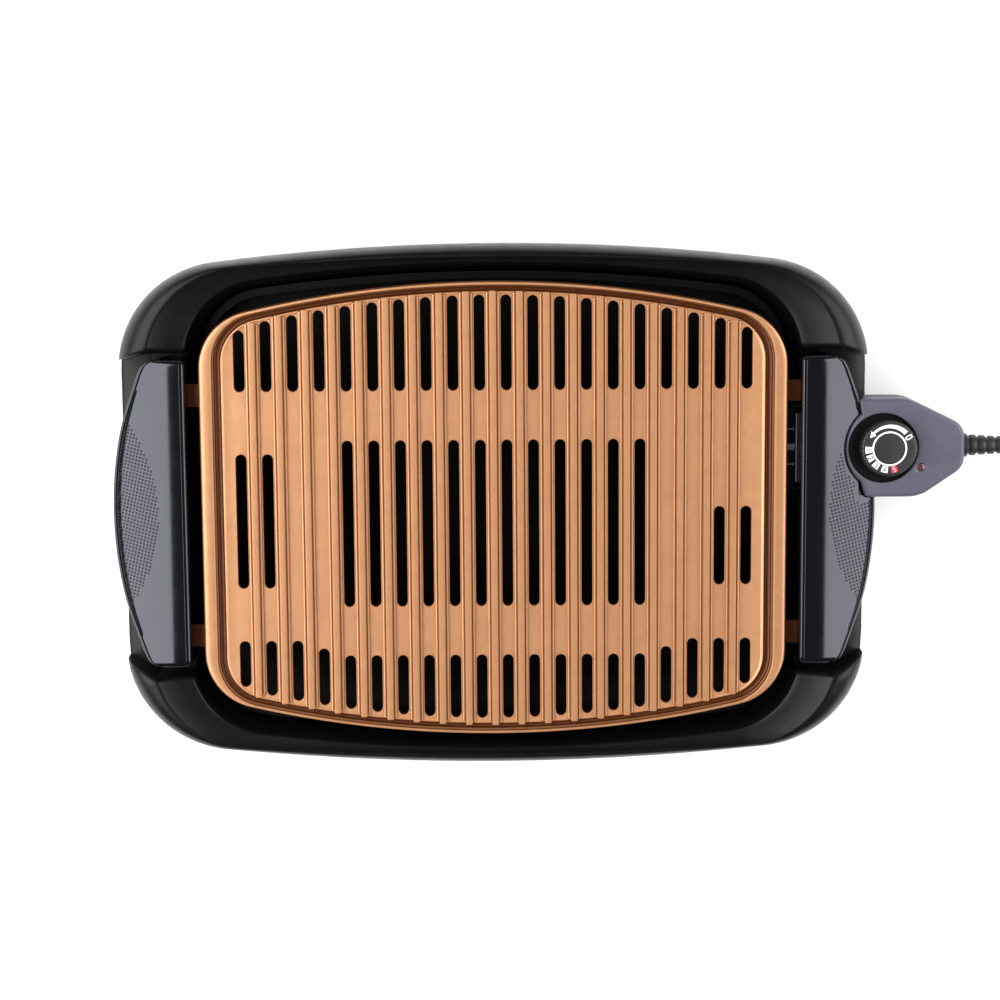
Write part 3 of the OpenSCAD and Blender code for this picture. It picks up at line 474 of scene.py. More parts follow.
def base_section(place, kind, up, up_in, sx, sy):
    """A cross-section through the base's wall.

    up says how far its outside has risen from the recess, and up_in how far its inside has."""
    crest = mix(RIM_Z, SHOULDER_Z, rise(place, kind))
    lip = crest - mix(3.5, 7, rise(place, kind))
    top, top_in = mix(LEDGE_Z, crest, up), mix(LEDGE_Z, crest, up_in) - WALL
    side = mix(LEDGE_Z - 4, WIDE_Z, up)
    side_in = mix(LEDGE_Z - 4, WIDE_Z, up_in) - 0.4 * WALL
    edge, edge_in = mix(LEDGE_Z, lip, up), mix(LEDGE_Z, lip, up_in) - WALL
    a0 = SHOULDER_START if kind == 1 else 0
    step = RECESS_HALF + sy * RECESS_Y
    lean_in = SLANT[sy] * (max(0, 1 - abs(place - step) / (SHOULDER_START - step)) if place > step else
                           max(0, 1 - (step - place) / 40)) if kind == 0 else 0
    pts = []

    def add(p, z):
        pts.append((sx * p[0], sy * p[1], z))

    def face(o, d, z):
        add(ring_point(inset(o, d), place - (lean_in if o == OUTER else 0), kind, a0), z)

    def lean(z, wide):
        return 11 * (max(0, wide - z) / 41) ** 1.6

    face(OUTER, 12.6, 3.2)
    face(OUTER, 12.1, 3)
    face(OUTER, 11.2, 3.2)
    for z in (4, 7, 11, 15, 20, 25, 30, 34):
        face(OUTER, lean(z, side), z)
    face(OUTER, 0.02, side)
    crest_p = ring_point(CREST, place, kind, a0)
    outer_p = ring_point(OUTER, place - lean_in, kind, a0)
    for a in range(8, 89, 8):
        q = math.radians(a)
        add(mix(outer_p, crest_p, 1 - math.cos(q)), side + (top - side) * math.sin(q) ** 0.9)
    inner_p = ring_point(INNER, place, kind, a0)
    add(mix(outer_p, crest_p, 0.985), top - 0.05)
    # the band inside the crest falls in a shallow hollow, then turns down over a rounded lip
    for t in (0.015, 0.06, 0.2, 0.4, 0.6, 0.8, 0.93):
        add(mix(crest_p, inner_p, t), mix(top, edge, t ** 0.85) - 0.35 * math.sin(math.pi * t) * up)
    add(mix(crest_p, inner_p, 0.985), edge - 0.1)
    face(INNER, 0.15, edge - 0.5)
    face(INNER, 0.6, edge - 1.4)
    for t in (0.1, 0.25, 0.5, 0.75, 0.93):
        face(INNER, mix(1.0, 7, t), mix(edge - 1.4, 13, t))
    face(INNER, 7.6, 13.1)
    face(INNER, 7.6, 10.4)
    face(INNER, 7 - WALL, 10)
    face(INNER, 1.2 - WALL, edge_in - 1.4)
    face(INNER, -WALL, edge_in - 0.4)
    inner_c = lambda q: mix(ring_point(inset(OUTER, WALL), place - lean_in, kind, a0), crest_p,
                            1 - math.cos(q))
    for a in (90, 70, 50, 30, 12):
        q = math.radians(a)
        add(inner_c(q), side_in + (top_in - side_in) * math.sin(q))
    face(OUTER, WALL, side_in)
    for z in (30, 20, 11, 4.2):
        face(OUTER, lean(z, side) + WALL - 0.6 * (z < 5), z)
    return pts


def base_quarter(sx, sy):
    step = RECESS_HALF + sy * RECESS_Y
    curve = lambda y, at_y, r: math.sqrt(max(0, 1 - (1 - min(1, max(0, (y - at_y) / r))) ** 2))
    out = []
    for y in (0, 18, 36, 54, 70, 82, step - 2, step - 0.4):
        out.append((y, 0, 0, 0))
    for d in (0, 0.05, 0.2, 0.5, 1.0, 1.7, 2.6, 3.2, 4, 5):
        y = step + d
        out.append((y, 0, min(1, 0.84 + 0.16 * curve(y, step, 4)), 0 if d < 2.6 else 1))
    last = out[-1][0]
    for k in range(1, 5):
        y = last + (SHOULDER_START - last) * k / 4
        if y > last + 0.5 and k < 4:
            out.append((y, 0, 1, 1))
    for k in range(17):
        out.append((k / 16, 1, 1, 1))
    for k in range(1, 21):
        out.append((k / 20, 2, 1, 1))
    return [base_section(p, k, u, v, sx, sy) for p, k, u, v in out]


a, b, c, d = base_quarter(1, 1), base_quarter(-1, 1), base_quarter(-1, -1), base_quarter(1, -1)
bm = bmesh.new()
rings_mesh(bm, a + b[-2::-1] + c[1:] + d[-2:0:-1], joined=True)
feet = [(148, 98), (-148, 98), (-148, -98), (148, -98)]
floor_rings = [[(x, y, z) for x, y in outline(inset(INNER, d), 10, 10)]
               for d, z in ((7.2, 10.2), (7.2, 12.9))]
rings_mesh(bm, floor_rings)
for x, y in feet:
    place = lambda px, py, pz, x=x, y=y: (x + px, y + py, pz)
    rings_mesh(bm, turned([(9.2, 3.3), (9.5, 3), (11.7, 3), (12, 3.3), (12, 10.4), (9.2, 10.4), (9.2, 6)],
                          48, place),
               joined=True)
    rings_mesh(bm, turned([(1.7, 6), (9.4, 6), (9.4, 8.5), (1.7, 8.5)], 48, place), joined=True)
for i in range(5):
    x = -130 + i * 65
    add_block(bm, (x - 1, -105, 6), (x + 1, 105, 10.6), 0.4, 2)
for y in (-45, 45):
    add_block(bm, (-155, y - 1, 6), (155, y + 1, 10.6), 0.4, 2)
finish_mesh(bm, "base_shell", "base", MATS["black_plastic"], ["base_housing"], 38)


# ---- Cooking plate ----
MOAT = TOP - 5.7
UNDER = TOP - 7.7
PITCH, COLUMNS, SLOT_HALF = 15, 20, 3.0


def column_x(i):
    return (i - (COLUMNS - 1) / 2) * PITCH


def make_object(bm, name):
    bmesh.ops.recalc_face_normals(bm, faces=bm.faces)
    mesh = bpy.data.meshes.new(name)
    bm.to_mesh(mesh)
    bm.free()
    obj = bpy.data.objects.new(name, mesh)
    bpy.context.scene.collection.objects.link(obj)
    return obj


def carve(target, other, how, self_cut=False):
    """A boolean of two closed meshes, applied at once; the other object is removed."""
    m = target.modifiers.new("cut", "BOOLEAN")
    m.operation, m.object, m.solver, m.use_self = how, other, "EXACT", self_cut
    shown = bpy.context.evaluated_depsgraph_get()
    mesh = bpy.data.meshes.new_from_object(target.evaluated_get(shown))
    target.modifiers.clear()
    old, target.data = target.data, mesh
    bpy.data.meshes.remove(old)
    bpy.data.objects.remove(other)
    return target


def loops_of(o, pairs, corners=16, sides=14):
    return [[(x, y, z) for x, y in outline(inset(o, d), corners, sides)] for d, z in pairs]


def slot_ring(x, y0, y1, r, z, n=8):
    """A slot's outline: two half circles joined by straight sides."""
    up_c, low_c = y1 - SLOT_HALF, y0 + SLOT_HALF
    return ([(x + r * math.cos(math.pi * k / n), up_c + r * math.sin(math.pi * k / n),
              z) for k in range(n + 1)]
            + [(x - r * math.cos(math.pi * k / n), low_c - r * math.sin(math.pi * k / n),
                z) for k in range(n + 1)])


def slot_rows():
    low_ends = [-74.8, -74.8, -74.8, -79.4]
    for i in range(COLUMNS):
        x, k = column_x(i), min(i, COLUMNS - 1 - i)
        edge = outline_y(MOAT_IN, abs(x))
        yield x, 67.9, edge - 2
        yield x, -edge + 3.2, low_ends[k] if k < 4 else -83.5
    for y0, y1, first, last in ((-55.1, 39.8, 4, 15), (-44.1, 32.4, 0, 1), (-43.6, 1.1, 18, 19)):
        for i in range(first, last + 1):
            yield column_x(i), y0, y1


# The top: a rounded rim, a moat inside it, a low bead, then the field
bm = bmesh.new()
rim = [(0.6, UNDER + 0.2), (0.15, UNDER + 0.2), (0, UNDER + 0.8), (0, TOP - 2.2), (0.12, TOP - 1.5),
       (0.4, TOP - 0.9)]
rings = loops_of(RIM, rim)
for t, z in ((0.08, TOP - 0.4), (0.18, TOP - 0.12), (0.4, TOP - 0.02), (0.6, TOP), (0.82, TOP - 0.02),
             (0.94, TOP - 0.2)):
    rings.append([(mix(a[0], b[0], t), mix(a[1], b[1], t), z) for a,
                  b in zip(rings[5], loops_of(MOAT_OUT, [(-0.4, 0)])[0])])
rings += loops_of(MOAT_OUT, [(-0.4, TOP - 0.7), (-0.1, TOP - 1.3), (0.5, MOAT + 1.2), (0.9, MOAT + 0.45),
                             (1.6, MOAT + 0.06), (2.4, MOAT)])
rings += loops_of(MOAT_IN, [(-1.5, MOAT), (-0.9, MOAT + 0.15), (-0.45, MOAT + 0.6), (-0.1, FIELD - 0.5),
                            (0.05, FIELD + 0.1),
                            (0.3, FIELD + 0.42), (0.65, FIELD + 0.5), (1.0, FIELD + 0.38),
                            (1.5, FIELD + 0.08), (2.0, FIELD)])
rings_mesh(bm, rings)
plate = make_object(bm, "plate_body")

# The ribs: nested rounded rectangles that rise to a ledge, dip, and rise again to the crest
bm = bmesh.new()
RIB = [(3.9, 0, FIELD - 1.5), (3.9, 0, FIELD + 0.35), (3.75, 0.15, FIELD + 1.1), (3.5, 0.4, FIELD + 1.45),
       (3.1, 0.7, FIELD + 1.6),
       (2.75, 0.9, FIELD + 1.55), (2.45, 0.8, FIELD + 1.2), (2.15, 0.5, FIELD + 1.15),
       (1.95, -0.1, FIELD + 1.4), (1.87, -0.5, FIELD + 2.8),
       (1.8, -0.6, FIELD + 3.36), (1.62, -0.5, FIELD + 3.58), (1.35, -0.2, FIELD + 3.63),
       (0.6, 0.3, FIELD + 3.64)]
for i in range(COLUMNS - 1):
    x = column_x(i) + PITCH / 2
    end = min(outline_y(MOAT_IN, abs(x) + 3.7), outline_y(MOAT_IN, abs(x) + 1.7)) - 0.2
    rings = []
    for w, back, z in RIB:
        q, ring = min(0.5, w * 0.6), []
        for sx, sy, a0 in ((1, 1, 0), (-1, 1, 90), (-1, -1, 180), (1, -1, 270)):
            for k in range(4):
                a = math.radians(a0 + 30 * k)
                ring.append((x + sx * (w - q) + q * math.cos(a), sy * (end - back - q) + q * math.sin(a), z))
        rings.append(ring)
    rings_mesh(bm, rings)
ribs = make_object(bm, "ribs")
carve(plate, ribs, "UNION")

# The underside comes from the frame's own plate, cut off below the moat
bm = bmesh.new()
bm.from_mesh(nodes["grill_plate"].data)
bmesh.ops.remove_doubles(bm, verts=bm.verts, dist=1e-6)
under = make_object(bm, "plate_under")
bm = bmesh.new()
add_block(bm, (-230, -160, UNDER + 0.9), (230, 160, 90), 0.1, 1)
carve(under, make_object(bm, "knife"), "DIFFERENCE")

bm = bmesh.new()
for x, y0, y1 in slot_rows():
    r = SLOT_HALF
    rings_mesh(bm, [slot_ring(x, y0, y1, q, z) for q, z in (
        (r, 40), (r, FIELD - 0.75), (r + 0.06, FIELD - 0.4), (r + 0.22, FIELD - 0.14),
        (r + 0.42, FIELD + 0.02), (r + 0.42, FIELD + 0.3))])
carve(plate, make_object(bm, "slots"), "DIFFERENCE")
carve(plate, under, "UNION")
bm = bmesh.new()
bm.from_mesh(plate.data)
bpy.data.objects.remove(plate)
bmesh.ops.remove_doubles(bm, verts=bm.verts, dist=2e-6)
bmesh.ops.dissolve_degenerate(bm, dist=1e-6, edges=bm.edges)
finish_mesh(bm, "ribbed_plate", "grill", MATS["copper_coating"], ["grill_plate"], 30)


# ---- Handles ----
H_IN, H_CORNER, H_KNEE_X, H_KNEE_Y, H_HALF, H_TOP, H_MID = 172.5, 196, 209, 53, 87.5, 74, -0.8
H_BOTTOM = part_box("left_handle")[0].z / MM
H_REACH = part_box("left_handle")[0].x / -MM + OX
END_R = 6.5
BULGE_R = (H_KNEE_Y ** 2 + (H_REACH - H_KNEE_X) ** 2) / (2 * (H_REACH - H_KNEE_X))


def handle_out(v, soft=9.0):
    """Outer edge at a distance v from the handle's middle, its knee eased over a short length."""
    def raw(u):
        u = abs(u)
        if u < H_KNEE_Y:
            return H_REACH - BULGE_R + math.sqrt(BULGE_R ** 2 - u * u)
        return mix(H_KNEE_X, H_CORNER, (u - H_KNEE_Y) / (H_HALF - H_KNEE_Y))
    out = sum(raw(v + soft * k / 4) for k in range(-4, 5)) / 9
    over = max(0, abs(v) - (H_HALF - END_R)) / END_R
    return out - 0.9 * END_R * (1 - math.sqrt(max(0, 1 - min(1, over) ** 2)))


# The top's tilt in degrees at a distance in mm from the inner edge
TILTS = [(4.5, 0), (8, 2.5), (11, 7), (14, 12), (18, 17), (24, 22), (32, 26), (44, 28)]


def drop(d):
    """How far the top has fallen at a distance d from the inner edge."""
    fall, last, ang = 0, 4.5, 0
    for at_d, tilt in TILTS[1:]:
        step = min(d, at_d) - last
        if step <= 0:
            break
        new = mix(ang, tilt, step / (at_d - last))
        fall += step * math.tan(math.radians((ang + new) / 2))
        last, ang = at_d, tilt
    return fall


def handle_section(v, shrink, sx, inner=False):
    """A cross-section of a handle: shrink draws the ends in, and inner gives the hollow side."""
    out = handle_out(v) - shrink - (2.6 if inner else 0)
    left = H_IN + shrink * 0.6 + (2.6 if inner else 0)
    top = H_TOP - shrink * 0.9 - (2.6 if inner else 0)
    w = out - left
    edge = 2.4
    z_edge = top - drop(w - edge)
    pts = [(out - 2.2, H_BOTTOM), (out - 0.5, H_BOTTOM + 4), (out, H_BOTTOM + 8)]
    pts += [(out, mix(H_BOTTOM + 8, z_edge - 1.7, t)) for t in (0.5, 1)]
    pts += [(out - edge * (1 - math.cos(math.radians(a))),
             z_edge - 1.7 + (1.7 + 0.35) * math.sin(math.radians(a)) - 0.35 * (a / 66) ** 3)
            for a in (12, 24, 36, 48, 60, 72, 84)]
    n = 15
    pts += [(left + mix(w - edge, 5.2, (k / n) ** 0.9),
             top - drop(mix(w - edge, 5.2, (k / n) ** 0.9))) for k in range(n + 1)]
    if inner:
        pts += [(left + 3, top - 0.3), (left + 1, top - 0.9), (left, top - 2.4), (left, top - 8), (left, 52),
                (left, H_BOTTOM)]
    else:
        # a fine step runs beside the inner edge, which is rounded over
        pts += [(left + 4.4, top - 0.01), (left + 3.6, top - 0.02), (left + 2.9, top - 0.04),
                (left + 2.75, top - 0.08), (left + 2.62, top - 0.26),
                (left + 2.45, top - 0.34), (left + 2.0, top - 0.36), (left + 1.5, top - 0.37),
                (left + 1.2, top - 0.42), (left + 0.9, top - 0.55),
                (left + 0.5, top - 0.9), (left + 0.2, top - 1.3),
                (left, top - 1.8), (left, top - 8), (left, 52), (left, H_BOTTOM)]
    if inner:
        n = len(handle_section(v, shrink, sx))
        need = n - len(pts)
        pts = pts[:-1] + [(left, mix(52, H_BOTTOM, (k + 1) / (need + 2))) for k in range(need)] + [pts[-1]]
    return [(sx * x, H_MID + v, z) for x, z in pts]


def handle_body(sx):
    """The handle as one closed shell: outer skin, rim, inner skin."""
    ends = []
    for k in range(7):
        a = math.radians(90 * k / 6)
        ends.append((-H_HALF + 4 * (1 - math.cos(a)), 3.2 * (1 - math.sin(a))))
    mids = [(-H_HALF + 4 + (2 * H_HALF - 8) * k / 44, 0) for k in range(1, 44)]
    outer = ends + mids + [(-v, s) for v, s in ends[::-1]]
    bm = bmesh.new()
    out_rings = [handle_section(v, s, sx) for v, s in outer]
    in_rings = [handle_section(max(-H_HALF + 2.8, min(H_HALF - 2.8, v)), 0, sx, True) for v, s in outer]
    a = rings_mesh(bm, out_rings, caps=False, loop=False)
    b = rings_mesh(bm, in_rings, caps=False, loop=False)
    for i in range(len(a) - 1):
        for k in (0, -1):
            bm.faces.new((a[i][k], a[i + 1][k], b[i + 1][k], b[i][k]))
    for i in (0, -1):
        for k in range(len(a[0]) - 1):
            bm.faces.new((a[i][k], a[i][k + 1], b[i][k + 1], b[i][k]))
    bmesh.ops.remove_doubles(bm, verts=bm.verts, dist=1e-7)
    bmesh.ops.dissolve_degenerate(bm, dist=1e-7, edges=bm.edges)
    return make_object(bm, "handle_body")


def cylinder_mesh(bm, x, y, z0, z1, r, n=40, axis="z"):
    place = (lambda a, b, c: (x + a, y + b, c)) if axis == "z" else (lambda a, b, c: (c, x + a, y + b))
    rings_mesh(bm, turned([(r, z0), (r, z1)], n, place))


LUG_X, LUG_MID, LUG_OUT = 182, -3.4, 69


def lug(sx):
    """The middles of the two lugs under one handle."""
    return [(sx * LUG_X, LUG_MID + LUG_OUT), (sx * LUG_X, LUG_MID - LUG_OUT)]


for sx, side in ((-1, "left"), (1, "right")):
    body = handle_body(sx)
    bm = bmesh.new()
    for x, y in lug(sx):
        cylinder_mesh(bm, x, y, 60.2, 71.8, 5)
    carve(body, make_object(bm, "bosses"), "UNION")
    bm = bmesh.new()
    for x, y in lug(sx):
        cylinder_mesh(bm, x, y, 55, 68, 1.65, 24)
        add_block(bm, (min(x - sx * 20, x), y - 7, H_BOTTOM - 2), (max(x - sx * 20, x), y + 7, 60.2), 0.2, 1)
    if sx > 0:
        rings_mesh(bm, [[(x, y, z) for x, y in control_outline(-0.9)] for z in (39, 90)])
        add_block(bm, (H_IN - 5, CTRL_Y - 27, 39), (H_IN + 55, CTRL_Y + 27, UNDER + 5.5), 0.6, 2)
    carve(body, make_object(bm, "cuts"), "DIFFERENCE", True)
    bm = bmesh.new()
    bm.from_mesh(body.data)
    bpy.data.objects.remove(body)
    bmesh.ops.remove_doubles(bm, verts=bm.verts, dist=2e-6)
    finish_mesh(bm, side + "_handle_shell", "grill", MATS["gloss_plastic"],
                [side + "_handle"], 35)


# ---- Grip dots: small dark pads set into the bulge of each handle ----
def handle_surface(x, v):
    """Height and outward slope of a handle's skin, x being the distance from the griddle's middle."""
    pts = [(abs(p[0]), p[2]) for p in handle_section(v, 0, 1)]
    for (xa, za), (xb, zb) in zip(pts, pts[1:]):
        if zb > H_TOP - 24 and xb <= x <= xa and xa - xb > 1e-4:
            t = (x - xb) / (xa - xb)
            return mix(zb, za, t), (za - zb) / (xa - xb)
    return None


LENS_X, LENS_Y, LENS_R, PITCH, LEAN = 276.4, -0.5, 87.7, 1.98, math.radians(13)
for sx, side in ((-1, "left"), (1, "right")):
    bm = bmesh.new()
    for i in range(-50, 51):
        for j in range(-50, 51):
            x = 200 + PITCH * (i * math.cos(LEAN) - j * math.sin(LEAN))
            y = LENS_Y + PITCH * (i * math.sin(LEAN) + j * math.cos(LEAN))
            if (math.hypot(x - LENS_X, y - LENS_Y) > LENS_R or abs(y - LENS_Y) > 54
                    or x > handle_out(y - H_MID) - 2.3):
                continue
            if sx > 0 and (math.hypot(x - DIAL_X,
                                      y - CTRL_Y) < 27 or (x > DIAL_X - 18.5 and abs(y - CTRL_Y) < 31)):
                continue
            found = handle_surface(x, y - H_MID)
            if not found:
                continue
            z, slope = found
            n = np.array((-slope, 0, 1)) / math.hypot(slope, 1)
            a, b = np.array((n[2], 0, -n[0])), np.array((0, 1, 0))
            c = np.array((x, y, z))
            rings = []
            for up_by, h in ((-0.4, 0.52), (0.05, 0.52), (0.1, 0.46)):
                ring = []
                for p, q in ((-1, -1), (1, -1), (1, 1), (-1, 1)):
                    w = c + n * up_by + (a * (p * math.cos(LEAN) - q * math.sin(LEAN))
                                         + b * (p * math.sin(LEAN) + q * math.cos(LEAN))) * h
                    ring.append((sx * w[0], w[1], w[2]))
                rings.append(ring)
            rings_mesh(bm, rings)
    finish_mesh(bm, side + "_grip_dots", "grill", MATS["dot_rubber"], [], 30)
def control_prism(pairs):
    bm = bmesh.new()
    rings_mesh(bm, [[(x, y, z) for x, y in control_outline(d)] for d, z in pairs])
    return bm


def drum(bm, x, y, pairs, n=64):
    """A turned solid about an upright axis: pairs of radius and height from its foot to its head."""
    rings_mesh(bm, turned(pairs, n, lambda a, b, c: (x + a, y + b, c)))


def rod(bm, y, z, x0, x1, r, n=40):
    rings_mesh(bm, turned([(r, x0), (r, x1)], n, lambda a, b, c: (c, y + a, z + b)))


POSTS = [(DIAL_X - 8, CTRL_Y - 20.5), (DIAL_X - 8, CTRL_Y + 20.5), (TAIL_X - 12, CTRL_Y)]
LAMP = (DIAL_X + 18.5, CTRL_Y - 11)


def add_holes(obj):
    """The snout's mouths for the probe and the pins, and the cord's way out."""
    bm = bmesh.new()
    rod(bm, CTRL_Y, PROBE_Z, 169, 174.2, 4.02)
    for s in (-10, 10):
        rod(bm, CTRL_Y + s, PROBE_Z, 169, 174.2, 2.9)
    rod(bm, CTRL_Y, PROBE_Z, TAIL_X - 6.5, TAIL_X + 4, 4.62)
    return carve(obj, make_object(bm, "mouths"), "DIFFERENCE")


def closed(obj, name, body, mat, replaces, angle):
    bm = bmesh.new()
    bm.from_mesh(obj.data)
    bpy.data.objects.remove(obj)
    bmesh.ops.remove_doubles(bm, verts=bm.verts, dist=2e-6)
    return finish_mesh(bm, name, body, MATS[mat], replaces, angle)


# Upper shell
shell = make_object(control_prism([(0.35, C_SPLIT + 0.12), (0.08, C_SPLIT + 0.35), (0, C_SPLIT + 0.8),
                                   (0, 65.3), (0.06, 65.9),
                                   (0.24, 66.5), (0.55, 67.05), (0.95, 67.5), (1.45, 67.82), (2.0, 67.97),
                                   (2.6, 68.0)]), "upper")
bm = bmesh.new()
add_block(bm, (170, CTRL_Y - 20, 50), (210, CTRL_Y + 20, 64), 1.0, 4)
carve(shell, make_object(bm, "snout"), "UNION")
bm = bmesh.new()
add_block(bm, (160, CTRL_Y - 40, 40), (300, CTRL_Y + 40, C_SPLIT + 0.12), 0.02, 1)
carve(shell, make_object(bm, "below"), "DIFFERENCE")
carve(shell, make_object(control_prism([(2.2, 50), (2.2, 62.4)]), "hollow"), "DIFFERENCE")
bm = bmesh.new()
add_block(bm, (172.2, CTRL_Y - 17.8, 50.2), (212, CTRL_Y + 17.8, 61.8), 0.4, 2)
carve(shell, make_object(bm, "snout_hollow"), "DIFFERENCE")
bm = bmesh.new()
for x, y in POSTS:
    drum(bm, x, y, [(3.6, C_SPLIT + 0.12), (3.6, 64)], 32)
drum(bm, DIAL_X, CTRL_Y, [(6, C_SPLIT + 1), (6, 63.5)], 48)
carve(shell, make_object(bm, "posts"), "UNION")
bm = bmesh.new()
drum(bm, DIAL_X - 2.9, CTRL_Y, [(19.1, 65), (19.45, 65.1), (19.6, 65.4), (19.6, 67.1), (19.68, 67.5),
                                (19.9, 67.8), (20.3, 68.02), (20.3, 69)], 128)
drum(bm, *LAMP, [(2.22, 59), (2.22, 67.5), (2.5, 67.85), (2.8, 68.03), (2.8, 69)], 48)
for x, y in POSTS:
    drum(bm, x, y, [(1.65, C_SPLIT - 1), (1.65, 62)], 24)
carve(shell, make_object(bm, "wells"), "DIFFERENCE", True)
bm = bmesh.new()
drum(bm, DIAL_X, CTRL_Y, [(3.08, 50), (3.08, 66)], 48)
carve(shell, make_object(bm, "shaft_way"), "DIFFERENCE")
add_holes(shell)
closed(shell, "control_cover", "control", "control_plastic", ["control_top"], 33)

# Painted shade: a near-black sheet laid over the floor and wall of the dial's well, standing for the shade in
# the gap round the dial
bm = bmesh.new()
rings_mesh(bm, turned([(3.4, 65.03), (3.4, 65.25), (18.9, 65.25), (19.15, 65.4), (19.25, 65.7),
                       (19.25, 67.35), (19.4, 67.5), (19.55, 67.35),
                       (19.55, 65.03)], 128, lambda a, b, c: (DIAL_X - 2.9 + a, CTRL_Y + b, c)), joined=True)
shade_film = make_object(bm, "shade_film")
bm = bmesh.new()
drum(bm, DIAL_X, CTRL_Y, [(3.5, 60), (3.5, 70)], 40)
closed(carve(shade_film, make_object(bm, "way"), "DIFFERENCE", True), "well_shade_sheet", "control", "well_black",
       [], 33)

# Lower shell
shell = make_object(control_prism([(2.6, 42), (1.9, 42.05), (1.2, 42.25), (0.6, 42.65), (0.2, 43.2),
                                   (0.02, 44), (0, 46), (0, 56.2),
                                   (0.08, 56.6), (0.35, 56.88)]), "lower")
bm = bmesh.new()
add_block(bm, (170, CTRL_Y - 20, 48), (210, CTRL_Y + 20, 60), 1.0, 4)
carve(shell, make_object(bm, "snout"), "UNION")
bm = bmesh.new()
add_block(bm, (160, CTRL_Y - 40, 56.88), (300, CTRL_Y + 40, 80), 0.02, 1)
carve(shell, make_object(bm, "above"), "DIFFERENCE")
carve(shell, make_object(control_prism([(2.2, 44.2), (2.2, 62.4)]), "hollow"), "DIFFERENCE")
bm = bmesh.new()
add_block(bm, (172.2, CTRL_Y - 17.8, 50.2), (212, CTRL_Y + 17.8, 62), 0.4, 2)
carve(shell, make_object(bm, "snout_hollow"), "DIFFERENCE")
bm = bmesh.new()
for x, y in POSTS:
    drum(bm, x, y, [(3.6, 43), (3.6, 56.88)], 32)
carve(shell, make_object(bm, "posts"), "UNION")
bm = bmesh.new()
for x, y in POSTS:
    drum(bm, x, y, [(3.5, 40), (3.5, 42), (3.1, 42.35), (3.0, 42.8), (3.0, 45), (1.8, 45), (1.8, 60)], 32)
carve(shell, make_object(bm, "screw_wells"), "DIFFERENCE")
bm = bmesh.new()
# two rows of vents beneath, one on either side of the middle
for k in range(7):
    x = DIAL_X + 6 + 3.6 * k - 14
    for s in (-1, 1):
        add_block(bm, (x, CTRL_Y + s * 10 - 4, 41), (x + 1.4, CTRL_Y + s * 10 + 4, 43.0), 0.3, 2)
carve(shell, make_object(bm, "vents"), "DIFFERENCE")
add_holes(shell)
closed(shell, "control_base", "control", "black_plastic", ["control_bottom"], 33)

# Indicator: a smoky lens in the cover, a little proud
revolve("indicator_window", [(0, 63.2), (1.6, 63.2), (2.1, 63.4), (2.1, 67.6), (1.95, 67.95), (1.5, 68.15),
                             (0.8, 68.26), (0, 68.3)], 40,
        lambda a, b, c: (LAMP[0] + a, LAMP[1] + b, c), "control", MATS["lens_red"],
        ["indicator_lens"])

# Dial
bm = bmesh.new()
n = 288
profile = [(8.7, 71.55), (8.75, 71.95), (8.95, 72.0), (14.6, 72.0), (15.0, 71.9), (15.35, 71.65),
           (15.65, 71.2), (15.85, 70.6), (16.0, 69.5),
           (16.1, 67), (16.15, 66.1), (15.95, 65.6), (15.4, 65.4), (3.05, 65.4), (3.05, 70.6), (8.6, 70.7)]
rings = []
for r, z in profile:
    ring = []
    for k in range(n):
        a = 2 * math.pi * k / n
        side = 1 if r > 15.2 and 65.7 < z < 71.7 else 0
        groove = side * 0.32 * max(0, math.cos(36 * a)) ** 3
        ring.append((DIAL_X + (r - groove) * math.cos(a), CTRL_Y + (r - groove) * math.sin(a), z))
    rings.append(ring)
rings_mesh(bm, rings, joined=True)
finish_mesh(bm, "dial_knob", "dial", MATS["dial_plastic"], ["dial"], 30)
revolve("dial_disc", [(0, 71.05), (8.35, 71.05), (8.5, 71.2), (8.5, 71.85), (8.4, 71.97), (8.2, 72.0),
                      (0, 72.0)], 96,
        lambda a, b, c: (DIAL_X + a, CTRL_Y + b, c), "dial", MATS["dial_plastic"],
        ["dial_cap"])
revolve("dial_axle", [(0, 54.4), (2.6, 54.4), (2.98, 54.8), (2.98, 69.4), (2.6, 69.8), (0, 69.8)], 40,
        lambda a, b, c: (DIAL_X + a, CTRL_Y + b, c), "dial", MATS["screw_steel"],
        ["dial_shaft"])


# ---- Printing on the dial: a ring, an arrow and numbered boxes, each a thin raised film ----
def polar(r, deg, z):
    a = math.radians(deg)
    return (DIAL_X + r * math.cos(a), CTRL_Y + r * math.sin(a), z)


def film(bm, outline_pts, z0, z1):
    """A flat closed shape between two heights."""
    rings_mesh(bm, [[(x, y, z0) for x, y in outline_pts], [(x, y, z1) for x, y in outline_pts]])


def band(bm, r0, r1, z0, z1, n=120):
    rings_mesh(bm, turned([(r0, z0), (r0, z1), (r1, z1), (r1, z0)], n, lambda a, b,
                          c: (DIAL_X + a, CTRL_Y + b, c)), joined=True)


DIGITS = {
    "0": [[(-1, 1.2), (-0.6, 2), (0.6, 2), (1, 1.2), (1, -1.2), (0.6, -2), (-0.6, -2), (-1, -1.2),
           (-1, 1.2)]],
    "1": [[(-0.7, 1.3), (0.1, 2), (0.1, -2)]],
    "2": [[(-1, 1.3), (-0.5, 2), (0.6, 2), (1, 1.4), (0.9, 0.6), (-1, -2), (1, -2)]],
    "3": [[(-0.9, 1.7), (0, 2), (0.9, 1.6), (0.8, 0.5), (-0.1, 0.15), (0.9, -0.3), (1, -1.4), (0.2, -2),
           (-0.9, -1.7)]],
    "4": [[(0.5, -2), (0.5, 2), (-1, -0.7), (1, -0.7)]],
    "5": [[(0.9, 2), (-0.7, 2), (-0.8, 0.3), (0.3, 0.5), (1, -0.3), (0.8, -1.6), (0, -2), (-0.9, -1.7)]],
}


